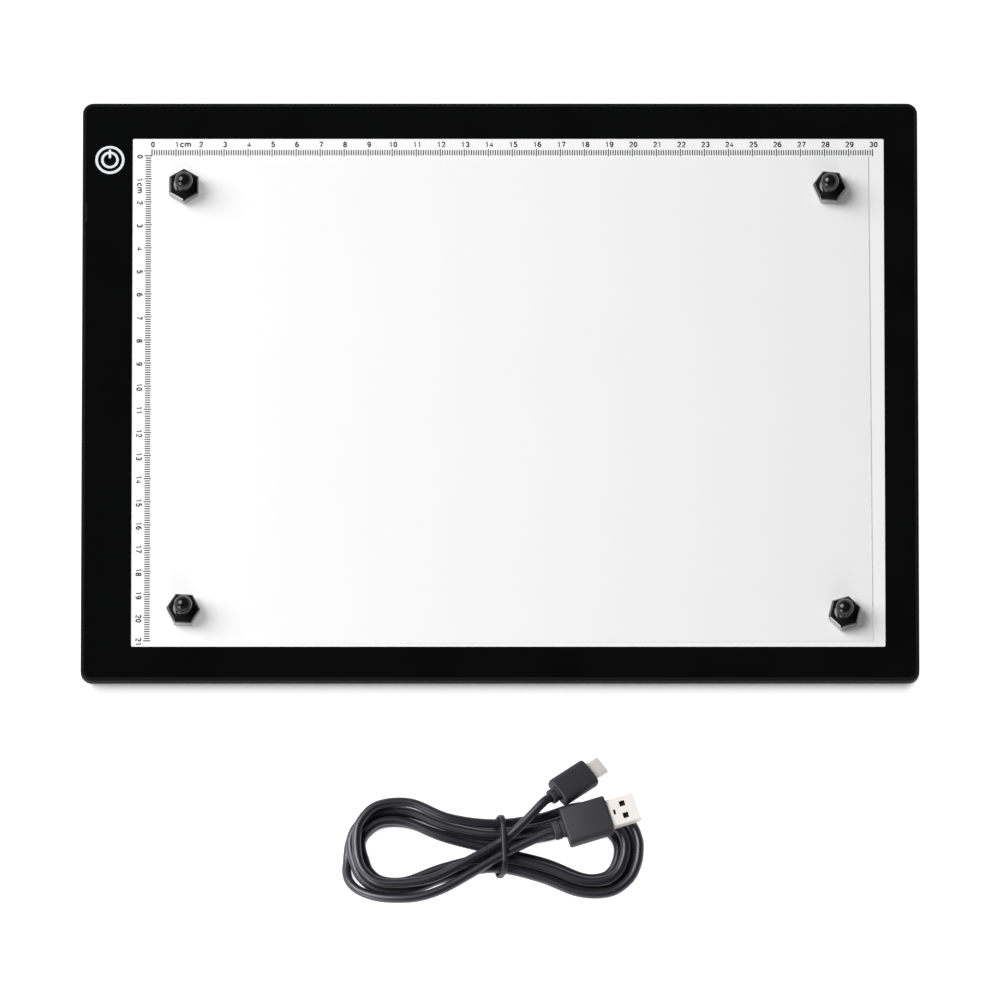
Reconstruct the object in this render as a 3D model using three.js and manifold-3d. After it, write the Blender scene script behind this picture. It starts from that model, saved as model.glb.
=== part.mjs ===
// LED tracing pad: a thin back-lit drawing board with four magnetic push pins, a sheet and its power cable.
// Millimetres, +Z up. The origin is under the middle of the pad, on the surface that it lies on.
import * as THREE from "three";
import { mergeVertices } from "three/addons/utils/BufferGeometryUtils.js";
import Module from "manifold-3d";

const wasm = await Module();
wasm.setup();

// Driving sizes of the pad
const padLength = 347.5;
const padWidth = 250;
const padCornerRadius = 4.5;
const windowLeftMargin = 20.85;
const windowRightMargin = 14.05;
const windowRearMargin = 15.5;
const windowFrontMargin = 14.6;
const windowCornerRadius = 0.6;

// Heights of the layers, from the table up
const footStandOff = 0.6;
const floorThickness = 0.8;
const steelThickness = 0.4;
const reflectorThickness = 0.2;
const guideThickness = 2.2;
const diffuserThickness = 0.2;
const tapeThickness = 0.2;
const panelThickness = 0.8;
const filmThickness = 0.15;
const airGap = 0.05;

// Walls of the back cover, and what clears them
const rimWall = 1.5;
const ledgeWall = 4;
const rimRound = 0.55;
const panelClearance = 0.15;
const ribThickness = 1.2;
const ribClearance = 0.3;
const stackOverlap = 3;
const stackCornerRadius = 1;
const overrun = 2;

// Levels worked out from the layers
const floorTop = footStandOff + floorThickness;
const steelLow = floorTop + airGap;
const reflectorLow = steelLow + steelThickness + airGap;
const guideLow = reflectorLow + reflectorThickness + airGap;
const guideTop = guideLow + guideThickness;
const diffuserLow = guideTop + airGap;
const panelLow = diffuserLow + diffuserThickness + airGap;
const panelTop = panelLow + panelThickness;
const filmLow = panelTop + airGap;
const padTop = filmLow + filmThickness;
const tapeLow = panelLow - airGap - tapeThickness;
const ledgeTop = tapeLow - airGap;

// Edges of the lit window and of the layers behind it
const windowLeft = windowLeftMargin - padLength / 2;
const windowRight = padLength / 2 - windowRightMargin;
const windowFront = windowFrontMargin - padWidth / 2;
const windowRear = padWidth / 2 - windowRearMargin;
const windowLength = windowRight - windowLeft;
const windowWidth = windowRear - windowFront;
const windowCentreX = (windowLeft + windowRight) / 2;
const windowCentreY = (windowFront + windowRear) / 2;
const stackLength = windowLength + 2 * stackOverlap;
const stackWidth = windowWidth + 2 * stackOverlap;
const stackLeft = windowLeft - stackOverlap;
const stackRight = windowRight + stackOverlap;
const stackFront = windowFront - stackOverlap;
const stackRear = windowRear + stackOverlap;

// Surface finishes
const finishes = {
  shell: { color: 0x3a3c40, roughness: 0.5, metalness: 0 },
  milkyAcrylic: { color: 0xf4f6f8, roughness: 0.25, metalness: 0 },
  clearAcrylic: { color: 0xe4eef2, roughness: 0.1, metalness: 0 },
  blackFilm: { color: 0x0b0b0d, roughness: 0.3, metalness: 0 },
  whiteFilm: { color: 0xf6f6f4, roughness: 0.6, metalness: 0 },
  tape: { color: 0xd8d8d0, roughness: 0.8, metalness: 0 },
  ceramic: { color: 0xc8b89c, roughness: 0.6, metalness: 0 },
  blackPlastic: { color: 0x141212, roughness: 0.5, metalness: 0 },
  steel: { color: 0x9a9da0, roughness: 0.35, metalness: 1 },
  nickel: { color: 0xe6e2dc, roughness: 0.2, metalness: 1 },
  boardGreen: { color: 0x1f5a38, roughness: 0.5, metalness: 0 },
  boardWhite: { color: 0xeeeeea, roughness: 0.5, metalness: 0 },
  chip: { color: 0x18181a, roughness: 0.6, metalness: 0 },
  ferrite: { color: 0x3c3a3a, roughness: 0.7, metalness: 0 },
  foam: { color: 0x4a4a4c, roughness: 0.9, metalness: 0 },
  rubber: { color: 0x141415, roughness: 0.85, metalness: 0 },
  gloss: { color: 0x050506, roughness: 0.08, metalness: 0 },
  magnet: { color: 0xb8babc, roughness: 0.25, metalness: 1 },
  paper: { color: 0xfbfbf8, roughness: 0.85, metalness: 0 },
  cableJacket: { color: 0x1c1c20, roughness: 0.45, metalness: 0 },
  overmould: { color: 0x303034, roughness: 0.6, metalness: 0 },
  wireRed: { color: 0xb02020, roughness: 0.5, metalness: 0 },
  wireBlack: { color: 0x101010, roughness: 0.5, metalness: 0 },
};

// How finely round shapes are divided
const cornerSteps = 6;
const roundSteps = 24;
const fineSteps = 32;
const bevelSteps = 2;
const chamferSteps = 1;
const mergeTolerance = 1e-4;

const up = new THREE.Vector3(0, 0, 1);

// Adds a named mesh with a material of its own to a group.
function addPiece(group, name, geometry, finish) {
  const mesh = new THREE.Mesh(geometry, new THREE.MeshStandardMaterial(finishes[finish]));
  mesh.name = name;
  group.add(mesh);
  return mesh;
}

// A geometry as a solid that can be joined and cut.
function solidOf(geometry) {
  const bare = geometry.clone();
  bare.deleteAttribute("normal");
  bare.deleteAttribute("uv");
  const merged = mergeVertices(bare, mergeTolerance);
  const vertProperties = merged.attributes.position.array;
  const triVerts = new Uint32Array(merged.index.array);
  return new wasm.Manifold(new wasm.Mesh({ numProp: 3, vertProperties, triVerts }));
}

// A solid back as a geometry with flat faces.
function geometryOf(solid) {
  const mesh = solid.getMesh();
  const indexed = new THREE.BufferGeometry();
  indexed.setAttribute("position", new THREE.BufferAttribute(mesh.vertProperties, mesh.numProp));
  indexed.setIndex(new THREE.BufferAttribute(mesh.triVerts, 1));
  const geometry = indexed.toNonIndexed();
  geometry.computeVertexNormals();
  return geometry;
}

function cut(base, ...tools) {
  return tools.reduce((rest, tool) => rest.subtract(solidOf(tool)), base);
}

function join(base, ...others) {
  return others.reduce((whole, other) => whole.add(solidOf(other)), base);
}

// A box between two corners.
function block(lowX, highX, lowY, highY, lowZ, highZ) {
  const box = new THREE.BoxGeometry(highX - lowX, highY - lowY, highZ - lowZ);
  return box.translate((lowX + highX) / 2, (lowY + highY) / 2, (lowZ + highZ) / 2);
}

// A rectangle with round corners, centred on a point.
function roundedRectangle(length, width, radius, centreX = 0, centreY = 0) {
  const shape = new THREE.Shape();
  const x = length / 2 - radius;
  const y = width / 2 - radius;
  const quarter = Math.PI / 2;
  shape.absarc(centreX + x, centreY + y, radius, 0, quarter);
  shape.absarc(centreX - x, centreY + y, radius, quarter, 2 * quarter);
  shape.absarc(centreX - x, centreY - y, radius, 2 * quarter, 3 * quarter);
  shape.absarc(centreX + x, centreY - y, radius, 3 * quarter, 4 * quarter);
  shape.closePath();
  return shape;
}

function withHole(shape, hole) {
  shape.holes.push(hole);
  return shape;
}

// A flat shape carried straight up between two levels.
function slab(shape, low, high, curveSegments = cornerSteps) {
  const geometry = new THREE.ExtrudeGeometry(shape, { depth: high - low, bevelEnabled: false, curveSegments });
  return geometry.translate(0, 0, low);
}

// The same with its edges rounded inside the outline.
function roundedSlab(shape, low, high, edge, curveSegments = cornerSteps) {
  const depth = high - low - 2 * edge;
  const bevel = { bevelThickness: edge, bevelSize: edge, bevelOffset: -edge, bevelSegments: bevelSteps };
  const geometry = new THREE.ExtrudeGeometry(shape, { depth, curveSegments, ...bevel });
  return geometry.translate(0, 0, low + edge);
}

// Turns what was drawn in X and Y and carried up along Z into a bar that runs along X.
function alongX(geometry) {
  const axes = [new THREE.Vector3(0, 1, 0), new THREE.Vector3(0, 0, 1), new THREE.Vector3(1, 0, 0)];
  return geometry.applyMatrix4(new THREE.Matrix4().makeBasis(...axes));
}

// A profile of [radius, height] pairs turned about Z.
function revolve(profile, steps = roundSteps) {
  const points = profile.map(([radius, height]) => new THREE.Vector2(radius, height));
  return new THREE.LatheGeometry(points, steps).rotateX(Math.PI / 2);
}

// A plain round disc or pin that stands on Z.
function disc(radius, low, high, steps = roundSteps) {
  const corners = [
    [0, low],
    [radius, low],
    [radius, high],
    [0, high],
  ];
  return revolve(corners, steps);
}

const pad = new THREE.Group();

// Power port in the left wall, near the power key
const portFromRear = 47;
const portWidth = 8.94;
const portHeight = 3.1;
const portDepth = 7.3;
const portWall = 0.3;
const portClearance = 0.2;
const portSetBack = 0.3;
const portY = padWidth / 2 - portFromRear;
const portLow = floorTop + airGap;
const portCentreZ = portLow + portHeight / 2;
const portMouthX = portSetBack - padLength / 2;
const portBackX = portMouthX + portDepth;

// A stadium outline, as wide as the port less a rim all round.
function portOutline(rim) {
  const height = portHeight - 2 * rim;
  return roundedRectangle(portWidth - 2 * rim, height, height / 2, portY, portCentreZ);
}

// LED strip behind the left edge of the light guide, its emitters facing the guide
const emitterDepth = 0.8;
const emitterLength = 3;
const emitterHeight = 1.4;
const emitterPitch = 9.2;
const emitterGap = 0.3;
const stripThickness = 0.6;
const stripEndMargin = 4;
const stripHigh = guideTop;
const emitterTipX = stackLeft - emitterGap;
const stripRightX = emitterTipX - emitterDepth;
const stripLeftX = stripRightX - stripThickness;
const stripFront = stackFront + stripEndMargin;
const stripRear = stackRear - stripEndMargin;
const stripRibRightX = stripLeftX - ribClearance;
const stripRibLeftX = stripRibRightX - ribThickness;

// Control board in the wide left margin, under the power key, with its parts in a row in front of the port
const boardThickness = 0.8;
const boardFromRear = 17.5;
const boardEndMargin = 4;
const boardSpacing = 0.9;
const boardClearance = 0.3;
const bossRadius = 1.6;
const pegRadius = 0.7;
const pegHoleRadius = 1;
const pegInset = 2.4;
const bossHeight = 0.5;
const boardLow = floorTop + bossHeight;
const boardTop = boardLow + boardThickness;
const boardRearY = padWidth / 2 - boardFromRear;
const capacitorLength = 3.2;
const driverLength = 2.9;
const chokeSide = 4;
const capacitorY = portY - portWidth / 2 - portClearance - boardSpacing - capacitorLength / 2;
const driverY = capacitorY - capacitorLength / 2 - boardSpacing - driverLength / 2;
const chokeY = driverY - driverLength / 2 - boardSpacing - chokeSide / 2;
const boardFrontY = chokeY - chokeSide / 2 - boardEndMargin;
const boardLeftX = ledgeWall - padLength / 2 + boardClearance;
const boardRightX = stripRibLeftX - boardClearance;
const pegPlaces = [
  [boardRightX - pegInset, boardFrontY + pegInset],
  [boardLeftX + pegInset, boardRearY - pegInset],
];

// Gap in the rib behind the strip, where the two leads reach it
const leadGateWidth = 9;
const leadGateY = boardFrontY - leadGateWidth / 2;

// Rubber feet in shallow round recesses under the corners
const footRadius = 6;
const footSink = 0.4;
const footInsetX = 22;
const footInsetY = 20;
const footClearance = 0.2;
const footEdge = 0.25;
const footX = padLength / 2 - footInsetX;
const footY = padWidth / 2 - footInsetY;
const footPlaces = {
  front_left: [-footX, -footY],
  front_right: [footX, -footY],
  rear_left: [-footX, footY],
  rear_right: [footX, footY],
};

// Ribs that locate the light guide on three sides, and the strip on the fourth
function locatingRibs() {
  const ribTop = guideTop;
  const ribLow = floorTop - airGap;
  const right = stackRight + ribClearance;
  const rear = stackRear + ribClearance;
  const front = stackFront - ribClearance;
  const gateRear = leadGateY + leadGateWidth / 2;
  const gateFront = leadGateY - leadGateWidth / 2;
  return [
    block(right, right + ribThickness, stackFront, stackRear, ribLow, ribTop),
    block(stackLeft, stackRight, rear, rear + ribThickness, ribLow, ribTop),
    block(stackLeft, stackRight, front - ribThickness, front, ribLow, ribTop),
    block(stripRibLeftX, stripRibRightX, stripFront, gateFront, ribLow, ribTop),
    block(stripRibLeftX, stripRibRightX, gateRear, stripRear, ribLow, ribTop),
  ];
}

// Short ribs between the locating ribs and the wall, which stiffen the margin and back the panel
const stiffenerCount = 7;
const stiffenerSideCount = 5;
function marginStiffeners() {
  const ribs = [];
  const wallY = padWidth / 2 - ledgeWall + overrun / 2;
  const wallX = padLength / 2 - ledgeWall + overrun / 2;
  const low = floorTop - airGap;
  const rear = stackRear + ribClearance + ribThickness / 2;
  const front = stackFront - ribClearance - ribThickness / 2;
  const right = stackRight + ribClearance + ribThickness / 2;
  for (let i = 0; i < stiffenerCount; i += 1) {
    const x = stackLeft + (stackLength * (i + 0.5)) / stiffenerCount;
    ribs.push(block(x - ribThickness / 2, x + ribThickness / 2, rear, wallY, low, ledgeTop));
    ribs.push(block(x - ribThickness / 2, x + ribThickness / 2, -wallY, front, low, ledgeTop));
  }
  for (let i = 0; i < stiffenerSideCount; i += 1) {
    const y = stackFront + (stackWidth * (i + 0.5)) / stiffenerSideCount;
    ribs.push(block(right, wallX, y - ribThickness / 2, y + ribThickness / 2, low, ledgeTop));
  }
  return ribs;
}

// The moulded back: a shallow tray with a rounded rim, a ledge for the panel, and its ribs and bosses
function makeBackCover() {
  const outline = roundedRectangle(padLength, padWidth, padCornerRadius);
  const panelRadius = padCornerRadius - rimWall;
  const panelPocket = roundedRectangle(padLength - 2 * rimWall, padWidth - 2 * rimWall, panelRadius);
  const cavityRadius = panelRadius / 2;
  const cavity = roundedRectangle(padLength - 2 * ledgeWall, padWidth - 2 * ledgeWall, cavityRadius);
  const portHole = alongX(slab(portOutline(-portClearance), 0, ledgeWall + overrun));
  let body = cut(
    solidOf(roundedSlab(outline, footStandOff, padTop, rimRound)),
    slab(panelPocket, ledgeTop, padTop + overrun),
    slab(cavity, floorTop, padTop + overrun),
  );
  body = join(body, ...locatingRibs(), ...marginStiffeners());
  for (const [x, y] of pegPlaces) {
    const boss = disc(bossRadius, floorTop - airGap, boardLow - airGap);
    const peg = disc(pegRadius, floorTop - airGap, boardTop);
    body = join(body, boss.translate(x, y, 0), peg.translate(x, y, 0));
  }
  for (const [x, y] of Object.values(footPlaces)) {
    const recess = disc(footRadius + footClearance, footStandOff - overrun, footStandOff + footSink);
    body = cut(body, recess.translate(x, y, 0));
  }
  return geometryOf(cut(body, portHole.translate(-padLength / 2 - overrun / 2, 0, 0)));
}
addPiece(pad, "back_cover", makeBackCover(), "shell");

// The steel plate that the pins pull on, and the three optical layers over it
function stackLayer(low, thickness) {
  const outline = roundedRectangle(stackLength, stackWidth, stackCornerRadius, windowCentreX, windowCentreY);
  return slab(outline, low, low + thickness);
}
addPiece(pad, "steel_sheet", stackLayer(steelLow, steelThickness), "steel");
addPiece(pad, "reflector_sheet", stackLayer(reflectorLow, reflectorThickness), "whiteFilm");
addPiece(pad, "light_guide", stackLayer(guideLow, guideThickness), "clearAcrylic");
addPiece(pad, "diffuser_sheet", stackLayer(diffuserLow, diffuserThickness), "whiteFilm");

// The tape on the ledge, opened where the port passes under it
function makePanelTape() {
  const inset = rimWall + panelClearance;
  const radius = padCornerRadius - inset;
  const outer = roundedRectangle(padLength - 2 * inset, padWidth - 2 * inset, radius);
  const inner = roundedRectangle(padLength - 2 * ledgeWall, padWidth - 2 * ledgeWall, radius / 2);
  const reach = portWidth / 2 + portClearance + panelClearance;
  const gate = block(-padLength, boardLeftX, portY - reach, portY + reach, ledgeTop, panelLow);
  return geometryOf(cut(solidOf(slab(withHole(outer, inner), tapeLow, tapeLow + tapeThickness)), gate));
}
addPiece(pad, "panel_tape", makePanelTape(), "tape");

// The milky front panel, and the black film on it that leaves the window open
function panelOutline() {
  const inset = rimWall + panelClearance;
  return roundedRectangle(padLength - 2 * inset, padWidth - 2 * inset, padCornerRadius - inset);
}
function windowOutline() {
  return roundedRectangle(windowLength, windowWidth, windowCornerRadius, windowCentreX, windowCentreY);
}
addPiece(pad, "front_panel", slab(panelOutline(), panelLow, panelTop), "milkyAcrylic");
addPiece(pad, "border_film", slab(withHole(panelOutline(), windowOutline()), filmLow, padTop), "blackFilm");

// The LED strip: a narrow board on edge with its emitters soldered on
function makeLedStrip() {
  let strip = solidOf(block(stripLeftX, stripRightX, stripFront, stripRear, guideLow, stripHigh));
  const count = Math.floor((stripRear - stripFront) / emitterPitch);
  const firstY = (stripFront + stripRear - (count - 1) * emitterPitch) / 2;
  const middleZ = (guideLow + stripHigh) / 2;
  for (let i = 0; i < count; i += 1) {
    const y = firstY + i * emitterPitch;
    const [low, high] = [y - emitterLength / 2, y + emitterLength / 2];
    const [bottom, top] = [middleZ - emitterHeight / 2, middleZ + emitterHeight / 2];
    strip = join(strip, block(stripRightX - airGap, emitterTipX, low, high, bottom, top));
  }
  return geometryOf(strip);
}
addPiece(pad, "led_strip", makeLedStrip(), "boardWhite");

// The control board, notched for the port and drilled for its two pegs
function makeControlBoard() {
  const outline = block(boardLeftX, boardRightX, boardFrontY, boardRearY, boardLow, boardTop);
  const reach = portWidth / 2 + portClearance;
  const notchEnd = portBackX + portClearance;
  const notch = block(boardLeftX - overrun, notchEnd, portY - reach, portY + reach, floorTop, panelLow);
  let board = cut(solidOf(outline), notch);
  for (const [x, y] of pegPlaces) {
    board = cut(board, disc(pegHoleRadius, floorTop, panelLow).translate(x, y, 0));
  }
  return geometryOf(board);
}
addPiece(pad, "control_board", makeControlBoard(), "boardGreen");

// The conductive foam block that carries the touch key's field to the back of the panel
const keyFromLeft = 11.35;
const keyFromRear = 24.7;
const keyX = keyFromLeft - padLength / 2;
const keyY = padWidth / 2 - keyFromRear;
const touchFoamLength = 8;
const touchFoamWidth = 5;
const touchFoamRadius = 0.8;
function makeTouchFoam() {
  const shape = roundedRectangle(touchFoamWidth, touchFoamLength, touchFoamRadius, keyX, keyY);
  return slab(shape, boardTop + airGap, panelLow - airGap, bevelSteps);
}
addPiece(pad, "touch_foam", makeTouchFoam(), "foam");

// A chip body with its legs down both sides, standing on the board
const legLength = 1;
const legWidth = 0.4;
const legHeight = 0.5;
const chipLift = 0.1;
function makeChip(x, y, length, width, height, legsPerSide) {
  const low = boardTop + airGap;
  const top = low + height;
  const body = block(x - width / 2, x + width / 2, y - length / 2, y + length / 2, low + chipLift, top);
  let chip = solidOf(body);
  const pitch = length / legsPerSide;
  for (let i = 0; i < legsPerSide; i += 1) {
    const legY = y - length / 2 + (i + 0.5) * pitch;
    const [lowY, highY] = [legY - legWidth / 2, legY + legWidth / 2];
    const reach = width / 2 + legLength;
    chip = join(chip, block(x - reach, x + reach, lowY, highY, low, low + legHeight));
  }
  return geometryOf(chip);
}
const boardMiddleX = (boardLeftX + boardRightX) / 2;
const touchChipY = (portY + portWidth / 2 + keyY - touchFoamLength / 2) / 2;
const chips = {
  touch_chip: { y: touchChipY, length: 4.9, width: 3.9, height: 1.4, legsPerSide: 4 },
  driver_chip: { y: driverY, length: driverLength, width: 1.7, height: 1.1, legsPerSide: 3 },
};
for (const [name, { y, length, width, height, legsPerSide }] of Object.entries(chips)) {
  addPiece(pad, name, makeChip(boardMiddleX, y, length, width, height, legsPerSide), "chip");
}

// The choke: a square core with its corners cut, on the board
const chokeHeight = 1.6;
const chokeChamfer = 0.8;
function makeChoke() {
  const shape = roundedRectangle(chokeSide, chokeSide, chokeChamfer, boardMiddleX, chokeY);
  return slab(shape, boardTop + airGap, boardTop + airGap + chokeHeight, chamferSteps);
}
addPiece(pad, "choke", makeChoke(), "ferrite");

// Two ceramic capacitors beside the port
const capacitorWidth = 1.6;
const capacitorHeight = 1.2;
const capacitorOffset = 1.9;
[-1, 1].forEach((side, index) => {
  const x = boardMiddleX + side * capacitorOffset;
  const [lowX, highX] = [x - capacitorWidth / 2, x + capacitorWidth / 2];
  const [lowY, highY] = [capacitorY - capacitorLength / 2, capacitorY + capacitorLength / 2];
  const low = boardTop + airGap;
  const body = block(lowX, highX, lowY, highY, low, low + capacitorHeight);
  addPiece(pad, `capacitor_${index + 1}`, body, "ceramic");
});

// The port's drawn shell, and the tongue on its moulded back
const tongueWidth = 6.7;
const tongueThickness = 0.7;
const tongueSetBack = 0.8;
const portBackLength = 1.8;
function makePortShell() {
  const shape = withHole(portOutline(0), portOutline(portWall));
  return alongX(slab(shape, 0, portDepth)).translate(portMouthX, 0, 0);
}
function makePortTongue() {
  const fit = portWall + airGap;
  const back = alongX(slab(portOutline(fit), 0, portBackLength));
  const low = portMouthX + tongueSetBack;
  const halfWidth = tongueWidth / 2;
  const halfThick = tongueThickness / 2;
  const [bottom, top] = [portCentreZ - halfThick, portCentreZ + halfThick];
  const tongue = block(low, portBackX - airGap, portY - halfWidth, portY + halfWidth, bottom, top);
  return geometryOf(join(solidOf(back.translate(portBackX - portBackLength, 0, 0)), tongue));
}
addPiece(pad, "power_port_shell", makePortShell(), "nickel");
addPiece(pad, "power_port_tongue", makePortTongue(), "chip");

// The two leads from the board to the strip
const leadRadius = 0.45;
const leadSides = 4;
const leadSteps = 14;
const leadSpacing = 1.6;
const leadRise = 0.1;
function makeLead(index) {
  const startX = boardRightX - pegInset - leadSpacing * (index + 1);
  const endY = leadGateY - leadSpacing * index + leadSpacing / 2;
  const endX = stripLeftX - airGap;
  const level = boardTop + leadRadius + leadRise;
  const points = [
    new THREE.Vector3(startX, boardFrontY + pegInset - leadSpacing / 2, level),
    new THREE.Vector3(startX, boardFrontY - leadRadius, level),
    new THREE.Vector3((startX + endX) / 2, endY, level),
    new THREE.Vector3(endX, endY, level),
  ];
  const section = new THREE.Shape().absarc(0, 0, leadRadius, 0, 2 * Math.PI);
  const extrudePath = new THREE.CatmullRomCurve3(points);
  return new THREE.ExtrudeGeometry(section, { steps: leadSteps, curveSegments: leadSides, extrudePath });
}
addPiece(pad, "led_lead_positive", makeLead(0), "wireRed");
addPiece(pad, "led_lead_negative", makeLead(1), "wireBlack");

// The four feet, with an eased lower edge
function makeFoot() {
  const high = footStandOff + footSink;
  const profile = [
    [0, 0],
    [footRadius - footEdge, 0],
    [footRadius, footEdge],
    [footRadius, high],
    [0, high],
  ];
  return revolve(profile, fineSteps);
}
for (const [corner, [x, y]] of Object.entries(footPlaces)) {
  addPiece(pad, `foot_${corner}`, makeFoot().translate(x, y, 0), "rubber");
}

// The sheet that the pins hold, an A4 page laid a little askew, clear of the ruler on its left and rear
const sheetLeftMargin = 9.8;
const sheetRightMargin = 5.8;
const sheetRearMargin = 8.4;
const sheetFrontMargin = 1.5;
const sheetThickness = 0.25;
const sheetCornerRadius = 0.4;
const sheetLength = windowLength - sheetLeftMargin - sheetRightMargin;
const sheetWidth = windowWidth - sheetRearMargin - sheetFrontMargin;
const sheetCentreX = windowLeft + sheetLeftMargin + sheetLength / 2;
const sheetCentreY = windowFront + sheetFrontMargin + sheetWidth / 2;
const sheetTurn = THREE.MathUtils.degToRad(0.33);
const sheetLow = panelTop + airGap;
const sheetTop = sheetLow + sheetThickness;
const sheetShape = roundedRectangle(sheetLength, sheetWidth, sheetCornerRadius);
const sheet = addPiece(pad, "tracing_sheet", slab(sheetShape, sheetLow, sheetTop, chamferSteps), "paper");
sheet.position.set(sheetCentreX, sheetCentreY, 0);
sheet.rotation.z = sheetTurn;

// Push pins: a hexagonal base over a magnet, a flared neck and a ball
const pinAcrossFlats = 12.4;
const pinBaseHeight = 6;
const pinChamfer = 0.7;
const pinBallRadius = 3.75;
const pinNeckRadius = 2.2;
const pinSkirtRadius = 4.6;
const pinBallRise = 5.75;
const pinMagnetRadius = 4.6;
const pinMagnetHeight = 2.5;
const pinMagnetClearance = 0.15;
const pinArcSteps = 4;
const pinBallSteps = 9;
const pinLow = sheetTop + airGap;

// Points of an arc about a centre in the plane of radius and height.
function arcPoints(centreRadius, centreHeight, radius, from, to, steps) {
  const points = [];
  for (let i = 0; i <= steps; i += 1) {
    const angle = from + ((to - from) * i) / steps;
    points.push([centreRadius + radius * Math.cos(angle), centreHeight + radius * Math.sin(angle)]);
  }
  return points;
}

function hexagon(acrossFlats) {
  const corner = acrossFlats / Math.sqrt(3);
  const shape = new THREE.Shape();
  for (let i = 0; i < 6; i += 1) {
    const angle = (i * Math.PI) / 3;
    const [x, y] = [corner * Math.cos(angle), corner * Math.sin(angle)];
    if (i === 0) shape.moveTo(x, y);
    else shape.lineTo(x, y);
  }
  shape.closePath();
  return shape;
}

function makePinKnob() {
  const depth = pinBaseHeight - 2 * pinChamfer;
  const edge = { bevelThickness: pinChamfer, bevelSize: pinChamfer, bevelOffset: -pinChamfer };
  const base = new THREE.ExtrudeGeometry(hexagon(pinAcrossFlats), { depth, ...edge, bevelSegments: chamferSteps });
  base.translate(0, 0, pinChamfer);
  const flare = pinSkirtRadius - pinNeckRadius;
  const ballHeight = pinBaseHeight + pinBallRise;
  const neckAngle = -Math.acos(pinNeckRadius / pinBallRadius);
  const flareArc = arcPoints(pinSkirtRadius, pinBaseHeight + flare, flare, -Math.PI / 2, -Math.PI, pinArcSteps);
  const ballArc = arcPoints(0, ballHeight, pinBallRadius, neckAngle, Math.PI / 2, pinBallSteps);
  const crown = ballArc.slice(0, -1);
  const top = [0, ballHeight + pinBallRadius];
  const foot = [
    [0, pinBaseHeight - pinChamfer],
    [pinSkirtRadius, pinBaseHeight - pinChamfer],
  ];
  const head = revolve([...foot, ...flareArc, ...crown, top]);
  const pocketRadius = pinMagnetRadius + pinMagnetClearance;
  const pocket = disc(pocketRadius, -overrun, pinMagnetHeight + pinMagnetClearance);
  return geometryOf(cut(join(solidOf(base), head), pocket));
}

// How far each pin stands in from the ends and the sides of the sheet, and its turn
const pinPlaces = {
  rear_left: { right: -1, rear: 1, fromEnd: 11.6, fromSide: 13.3, turn: 30 },
  rear_right: { right: 1, rear: 1, fromEnd: 16.7, fromSide: 13.8, turn: -5.5 },
  front_left: { right: -1, rear: -1, fromEnd: 11.9, fromSide: 13.4, turn: -3 },
  front_right: { right: 1, rear: -1, fromEnd: 11.1, fromSide: 11.9, turn: 16.7 },
};
for (const [corner, { right, rear, fromEnd, fromSide, turn }] of Object.entries(pinPlaces)) {
  const x = sheetCentreX + right * (sheetLength / 2 - fromEnd);
  const y = sheetCentreY + rear * (sheetWidth / 2 - fromSide);
  const pin = new THREE.Group();
  addPiece(pin, `pin_${corner}_knob`, makePinKnob(), "gloss");
  addPiece(pin, `pin_${corner}_magnet`, disc(pinMagnetRadius, 0, pinMagnetHeight), "magnet");
  pin.position.set(x, y, pinLow);
  pin.rotation.z = THREE.MathUtils.degToRad(turn);
  pad.add(pin);
}

// The power cable: a pinched hank, tied at the waist, whose two ends cross over it to the upper right
const cordDiameter = 3.8;
const cordSides = 6;
const strandGap = 0.66;
const seatGap = 0.3;
const hankX = -2.6;
const hankFromPad = 72.9;
const hankY = -padWidth / 2 - hankFromPad;
const hankHalfLength = 60.2;
const hankHalfWidth = 18.9;
const hankLengthShares = [0.908, 0.072, 0.02];
const hankWidthShares = [0.905, 0.455, 0.05];
const hankTurnBack = 3.5;
const hankHalfTurns = 8;
const stepsPerHalfTurn = 12;
const tipCrowdingShare = 0.3;
const crossingShare = 0.11;
const rightSpreadShare = 0.3;
const frontDrop = 2;
const frontDropDepth = 8;
const tieThickness = 1;
const tieWidth = 2.2;
const tieClearance = 0.75;
const tieX = 2.7;
const tieLean = THREE.MathUtils.degToRad(2.7);
const tieCornerRadius = 5;
const waistReach = 26;
const waistLift = tieThickness + seatGap;
const strandPitch = cordDiameter + strandGap;

// Round the left end the upper layer moves out by a share of the pitch, to lie square on the lower one.
// It does so over the near share of the hank's length and within a depth either side of its middle line.
const leftShift = { pitchShare: 0.46, lengthShare: 0.45, depth: 8 };

// The last run climbs to a third layer at the waist, drawn in by a share of the pitch just left of it,
// and then moves in over the two layers below. Its places are shares of the run, from the right end.
const lastRun = {
  climbStartShare: 0.42,
  climbShare: 0.15,
  inwardStartShare: 0.66,
  inwardPitchShare: 1.3,
  pinchPitchShare: 0.37,
  pinchX: -14,
  pinchReach: 12,
};

// Where each end of the cord meets its plug, in the hank's axes, and which way the plug points
const largePlugPlace = { back: [24.8, 5.9, 12.7], yaw: 17.5, pitch: 0 };
const smallPlugPlace = { back: [23.5, 20.6, 12.7], yaw: 37.5, pitch: 16 };

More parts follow.
